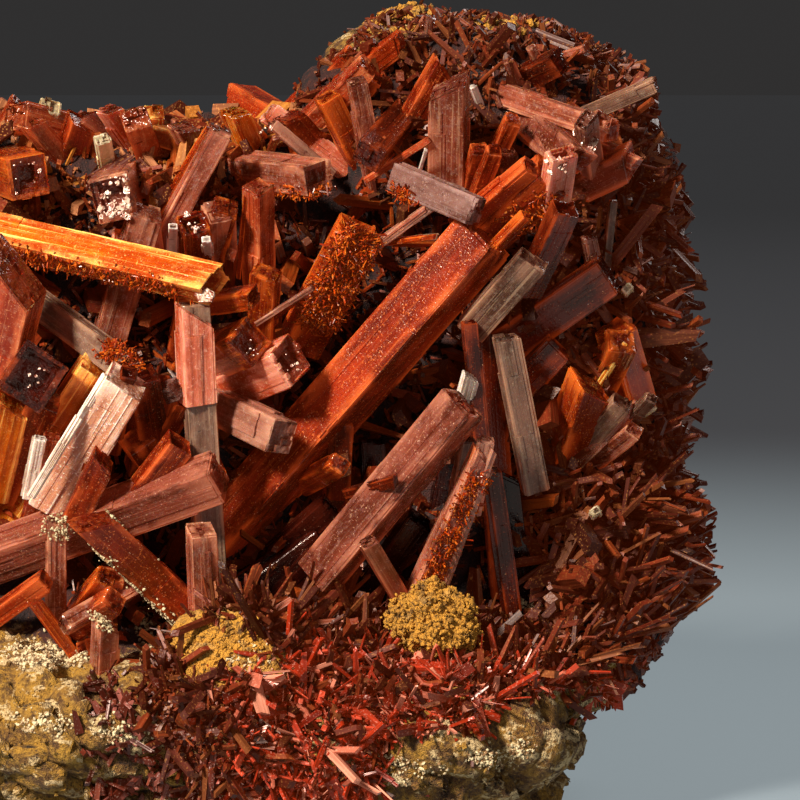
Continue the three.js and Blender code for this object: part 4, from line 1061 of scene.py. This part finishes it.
flake_brown = mixed_crystals(
    "brown_flakes", [0x3A1008, 0x5A2014, 0x2A0A06, 0x6E3222, 0x84463A, 0x4C1A0E], 0xA08070, 0.5, 0.2
)
random = np.random.default_rng(415)
patches = np.sin(1.3 * front_x + 0.7 * front_z) + np.sin(2.1 * front_z - 0.9 * front_x)
patch = smooth_step(front_x, -3, 0) * smooth_step(-front_x, -13, -9) * smooth_step(-front_z, -13.5, -12)
patch *= low_front * (patches > -0.5)
flakes = joined("brown_flakes", [
    grown("flakes_0", random, ground, patch, 620, (0.5, 1.6), (0.14, 0.5), 2.2, 1, 0.3),
    grown("flakes_1", random, ground, patch, 90, (1.4, 3.4), (0.35, 1.0), 2.8, 2, 0.2),
])
flakes.data.materials.append(flake_brown)
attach(flakes, "root")

# ---------------------------------------------------------------------------------------
# Orange fuzz. On sheltered sides of some prisms a second growth of tiny crystals, bright
# orange, with a painted glow for the light that passes right through them.

FUZZ_TONES = [0x8A2406, 0xB43C08, 0x5A1404, 0xCC5E14, 0x982C06, 0x48100A]
# painted glow: the fuzz glows at strength 2.0, for light passing through it
fuzz_orange = mixed_crystals("orange_fuzz", FUZZ_TONES, 0xE89040, 0.5, 0.1, 2.0)
# the prism, the way that its fuzzy sides look, the stretch of its length and the count
FUZZ = [
    ("druse_diagonal", (0.2, -1, 0.2), (0.05, 1.05), 3100), ("crusted_spar", (1, -1, 0), (-0.1, 0.8), 500),
    ("amber_bar", (0.1, 0, -1), (0.3, 0.93), 700), ("level_prism", (0, 0, -1), (0.2, 0.95), 600),
    ("crossing_blade", (-0.2, 0, -1), (-0.4, 0.2), 260), ("grey_lath", (0.3, -1, 0.4), (0.8, 1.05), 200),
    ("rear_diagonal", (0.5, -0.5, -1), (0.6, 0.9), 160),
]
random = np.random.default_rng(430)
coats = []
for node, heading, (start, stop), count in FUZZ:
    prism, foot, tip = prisms[node]
    soil = surface(prism)
    share = (soil[0] - np.array(foot)) @ np.array(tip - foot) / (tip - foot).length_squared
    heading = unit(np.array([heading]))[0]
    from_axis = soil[0] - np.array(foot) - share[:, None] * np.array(tip - foot)
    chance = (share > start) & (share < stop) & (soil[1] @ heading > 0.4) & (from_axis @ heading > 0.3)
    slide = 0.6 * unit(np.array([tip - foot]))
    for size, share in ((0.45, 1.0), (1.0, 0.14)):
        coats.append(grown(
            f"fuzz_{node}_{share}", random, soil, chance, int(2 * count * share), (0.3 * size, size),
            (0.05, 0.15), 1.3, slide=slide,
        ))
fuzz = joined("orange_fuzz", coats)
fuzz.data.materials.append(fuzz_orange)
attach(fuzz, "root")

# ---------------------------------------------------------------------------------------
# Ochre crumbs. The bare limonite is crumbly: grains of it stand on its knobs and ledges,
# yellow where they are fresh and pale where clay clings to them.


def crumbs(name, random, soil, chance, count, size, fresh=0.0):
    """A joined mesh of small uneven lumps, half sunk in the ground."""
    bpy.ops.object.select_all(action="DESELECT")
    bpy.ops.mesh.primitive_ico_sphere_add(subdivisions=1, radius=1)
    seed_lump = bpy.context.active_object
    shape = read(seed_lump.data.vertices, "co")
    faces = read(seed_lump.data.polygons, "vertices").astype(int)
    bpy.data.objects.remove(seed_lump)
    odds = chance * soil[2]
    rooted = random.choice(len(odds), count, p=odds / odds.sum())
    stretch = random.uniform(0.6, 1.3, (count, 1, 3)) * random.uniform(*size, (count, 1, 1)) / 2
    lumps = shape[None] * random.uniform(0.75, 1.2, (count, len(shape), 1)) * stretch
    axes = unit(random.normal(size=(count, 3)))
    other = unit(np.cross(axes, random.normal(size=(count, 3))))
    frames = np.stack([axes, other, np.cross(axes, other)], 1)
    aside = random.normal(size=(count, 3)) * 0.35
    aside -= (aside * soil[1][rooted]).sum(1, keepdims=True) * soil[1][rooted]
    at = np.einsum("cij,cjk->cik", lumps, frames) + (soil[0][rooted] + aside)[:, None]
    mesh = bpy.data.meshes.new(name)
    index = (faces[None] + np.arange(count)[:, None, None] * len(shape)).reshape(-1, 3)
    mesh.from_pydata((at.reshape(-1, 3) * MM).tolist(), [], index.tolist())
    write_attribute(mesh, "bare", np.ones(count * len(shape)))
    write_attribute(mesh, "ledge", np.full(count * len(shape), 0.5))
    write_attribute(mesh, "fresh", np.full(count * len(shape), fresh))
    made = bpy.data.objects.new(name, mesh)
    bpy.context.scene.collection.objects.link(made)
    return made


def near(points, middle, reach):
    """1 in the middle of an ellipse of the front view in mm and 0 outside it."""
    away = np.linalg.norm((seen(points) - middle) / reach, axis=1)
    return 1 - smooth_step(away, 0.6, 1.0)


bpy.ops.object.select_all(action="DESELECT")
bpy.ops.mesh.primitive_ico_sphere_add(subdivisions=6, radius=1)
knob_lump = bpy.context.active_object
knob_lump.name = "knob_lump"
knob_lump.data.transform(
    Matrix.Scale(MM, 4) @ Matrix.Translation((24.3, -17.8, 16.6)) @ Matrix.Diagonal((3.3, 2.6, 2.4, 1))
)
for texture, strength in ((lumps, 2.4), (clods, -1.0), (grit, 1.0)):
    finish_with(
        knob_lump, "DISPLACE", texture=texture, texture_coords="LOCAL", mid_level=0.5, strength=strength * MM
    )
for attribute in ("bare", "fresh"):
    write_attribute(knob_lump.data, attribute, np.ones(len(knob_lump.data.vertices)))
write_attribute(knob_lump.data, "ledge", np.full(len(knob_lump.data.vertices), 0.5))
knob_soil = surface(knob_lump)
random = np.random.default_rng(420)
on_knobs = (1 - off_knobs) * ground_clear * (ground_at[:, 2] < 20)
ground_bare = read(matrix.data.attributes["bare"].data, "value", 1)[:, 0]
first_corner = np.array([face.vertices[0] for face in matrix.data.polygons])
on_ledges = smooth_step(ground_bare[first_corner], 0.5, 1) * (ground_at[:, 2] > 1)
crown_rim = near(ground_at, [22, 61.8], [3.4, 1.6]) + near(ground_at, [30.5, 61.6], [3.4, 1.2])
crumb = joined("ochre_crumbs", [
    knob_lump,
    crumbs("crumbs_2", random, knob_soil, knob_soil[1][:, 1] < 0.3, 1300, (0.15, 0.55), 1.0),
    crumbs("crumbs_0", random, ground, on_knobs, 1300, (0.2, 0.7), 1.0),
    crumbs("crumbs_1", random, ground, on_ledges, 2000, (0.2, 0.8)),
    crumbs("crumbs_3", random, ground, crown_rim, 180, (0.6, 1.2), 1.0),
])
crumb.data.materials.append(earth.material)
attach(crumb, "root")

# ---------------------------------------------------------------------------------------
# Clay crust. Pale clay, dried on in grains, clings under the lowest prisms and in patches on
# the limonite beside them.

random = np.random.default_rng(425)
clay_patches = np.max([
    near(ground_at, middle, reach)
    for middle, reach in (
        ([3.2, 16.8], [1.2, 2.4]), ([11, 13], [2.2, 2.2]), ([-4.5, 14.2], [4.6, 1.2]),
        ([32, 17.8], [1.2, 1.0]), ([13.2, 11.2], [2.0, 1.0]), ([1.5, 8.5], [3.2, 1.0]),
        ([-5, 9], [2.6, 0.8]), ([22, 5.6], [4, 0.9]), ([30, 6.4], [3, 0.8]),
    )
], axis=0) * (ground_at[:, 1] < -8)
strips = []
for node, heading, (start, stop), count in (
    ("ramp_prism", (-0.8, -0.2, -1), (-0.2, 0.85), 420), ("slate_post", (1, -0.6, 0.5), (0.8, 1.1), 60),
    ("glint_stub", (0, -0.7, 1), (0.9, 1.2), 60),
):
    prism, foot, tip = prisms[node]
    soil = surface(prism)
    share = (soil[0] - np.array(foot)) @ np.array(tip - foot) / (tip - foot).length_squared
    chance = (share > start) & (share < stop) & (soil[1] @ unit(np.array([heading]))[0] > 0.3)
    strips.append(crumbs(f"clay_{node}", random, soil, chance, 3 * count, (0.1, 0.3)))
clay_pale = Finish("dried_clay", {"Roughness": 0.9, "Specular IOR Level": 0.2})
at = clay_pale.place()
spots = clay_pale.noise(at, 2.4, 4, 0.7)
clay_pale.wear({
    "Base Color": clay_pale.mix(spots.between(0.42, 0.56), paint(0x7E5A38), paint(0xD0BC92)),
    "Normal": clay_pale.bump(spots, 0.2 * MM, 0.6),
})
clay_crust = joined("clay_crust", [*strips, crumbs("clay_low", random, ground, clay_patches, 3400, (0.1, 0.38))])
clay_crust.data.materials.append(clay_pale.material)
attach(clay_crust, "root")

# ---------------------------------------------------------------------------------------
# Bright facets. On a few hollow ends a flat plate of crystal grew across the pit; turned
# to the lamp, it flashes white.

LAMP = np.array([-210, -330, 280])
# middle in mm, half width and half height of the cluster in mm, number and size of its plates
FACETS = [
    ([7.9, -20.8, 41.5], 0.2, 0.2, 4, 0.85), ([33.7, -17.9, 50.9], 0.7, 0.5, 10, 0.3),
    ([0.7, -14.8, 48.6], 1.1, 1.6, 46, 0.24), ([11.9, -12.8, 53.6], 0.5, 0.4, 4, 0.2),
    ([36.0, -15.4, 52.9], 0.8, 0.9, 14, 0.24), ([-6.1, -12.6, 50], 1.0, 1.2, 9, 0.14),
    ([6.2, -14, 46.6], 0.6, 0.7, 12, 0.18), ([11.4, -17.9, 37.6], 0.8, 0.8, 7, 0.1),
    ([14.2, -17, 36.6], 0.8, 1.0, 9, 0.12), ([-4.7, -20.2, 35.6], 1.1, 0.9, 7, 0.14),
]
random = np.random.default_rng(440)
glint = Finish("bright_facet", {**GLASSY, "Roughness": 0.18})
grain = glint.attribute("grain", 1)
wavy = glint.noise(grain, 2.5, 3, 0.6)
# The plates' pale cream is a painted highlight; their flash is the lamp's real reflection.
glint.wear({
    "Base Color": glint.mix(wavy.between(0.4, 0.6), paint(0x6A2A18), paint(0xC9A890)),
    "Normal": glint.bump(wavy, 0.14 * MM, 0.8),
})
plates = []
for middle, half_wide, half_high, count, breadth in FACETS:
    to_lamp, to_eye = LAMP - middle, EYE - middle
    halfway = to_lamp / np.linalg.norm(to_lamp) + to_eye / np.linalg.norm(to_eye)
    for number in range(count):
        bpy.ops.object.select_all(action="DESELECT")
        bpy.ops.mesh.primitive_cylinder_add(vertices=5 + number % 3, radius=1, depth=1)
        plate = bpy.context.active_object
        plate.name = f"plate_{len(plates)}"
        size = random.uniform(0.6, 1.0, 2) * breadth * random.choice([0.4, 0.6, 1.0, 1.5])
        plate.data.transform(Matrix.Diagonal((*size, 0.12, 1)))
        ragged = read(plate.data.vertices, "co")
        ragged[:, :2] *= random.uniform(0.75, 1.25, (len(ragged), 1))
        plate.data.vertices.foreach_set("co", ragged.ravel())
        write_attribute(plate.data, "grain", ragged + random.uniform(-9, 9, 3))
        turned = Vector(halfway + random.normal(size=3) * 0.26).to_track_quat("Z", "Y").to_matrix().to_4x4()
        spot = random.uniform(-1, 1, 2) * (half_wide, half_high)
        place = Matrix.Translation(Vector(middle) + Vector((spot[0], 0, spot[1])))
        plate.data.transform(Matrix.Scale(MM, 4) @ place @ turned)
        plates.append(plate)
facets = joined("bright_facets", plates)
facets.data.materials.append(glint.material)
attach(facets, "root")

# ---------------------------------------------------------------------------------------
# Studio: a pale table that falls into dark behind, a fall and a faint glow painted on it, one
# strong lamp from the upper left and two faint ones, and the camera level with the specimen.

bpy.ops.object.select_all(action="DESELECT")
bpy.ops.mesh.primitive_plane_add(size=60, location=(0, 0, 0))
table = bpy.context.active_object
table.name = "table"
pale = Finish("table_paint", {"Roughness": 0.6, "Specular IOR Level": 0.3})
away = pale.node("ShaderNodeVectorMath", {"operation": "LENGTH"}, [pale.place()], 1)
# painted light: the table darkens away from the specimen and glows faintly, its glow fading further out
dark = away.between(40, 330)
pale.wear({
    "Base Color": pale.mix(dark, paint(0x5C6468), paint(0x000000)),
    "Emission Color": pale.mix(
        away.between(150, 1500), pale.mix(dark, paint(0x7C868A), paint(0x404042)), paint(0x303031)
    ),
})
pale.shader.inputs["Emission Strength"].default_value = 1.0
table.data.materials.append(pale.material)


def lamp(name, place, aim, size, watts, colour=(1, 1, 1)):
    """A square softbox that stands at place and looks at aim, both in mm."""
    bpy.ops.object.light_add(type="AREA", location=Vector(place) * MM)
    made = bpy.context.active_object
    made.name = name
    made.rotation_euler = (Vector(aim) - Vector(place)).to_track_quat("-Z", "Y").to_euler()
    made.data.size = size * MM
    made.data.energy = watts
    made.data.color = colour


lamp("key_lamp", (-210, -330, 280), (5, -8, 34), 70, 5.5, (1.0, 0.94, 0.86))
lamp("fill_lamp", (200, -380, 160), (10, 0, 30), 260, 0.25, (1.0, 0.95, 0.92))
lamp("rim_lamp", (260, 260, 300), (10, 0, 30), 160, 0.8)
world = bpy.data.worlds.new("studio")
world.use_nodes = True
world.node_tree.nodes["Background"].inputs["Color"].default_value = (0.03, 0.029, 0.029, 1)
bpy.context.scene.world = world

bpy.ops.object.camera_add(location=(0.0221, -0.282, 0.0567), rotation=(math.radians(85), 0, 0))
camera = bpy.context.active_object
camera.data.sensor_width = 36
camera.data.lens = 160.2
bpy.context.scene.camera = camera
bpy.context.scene.view_settings.view_transform = "Standard"
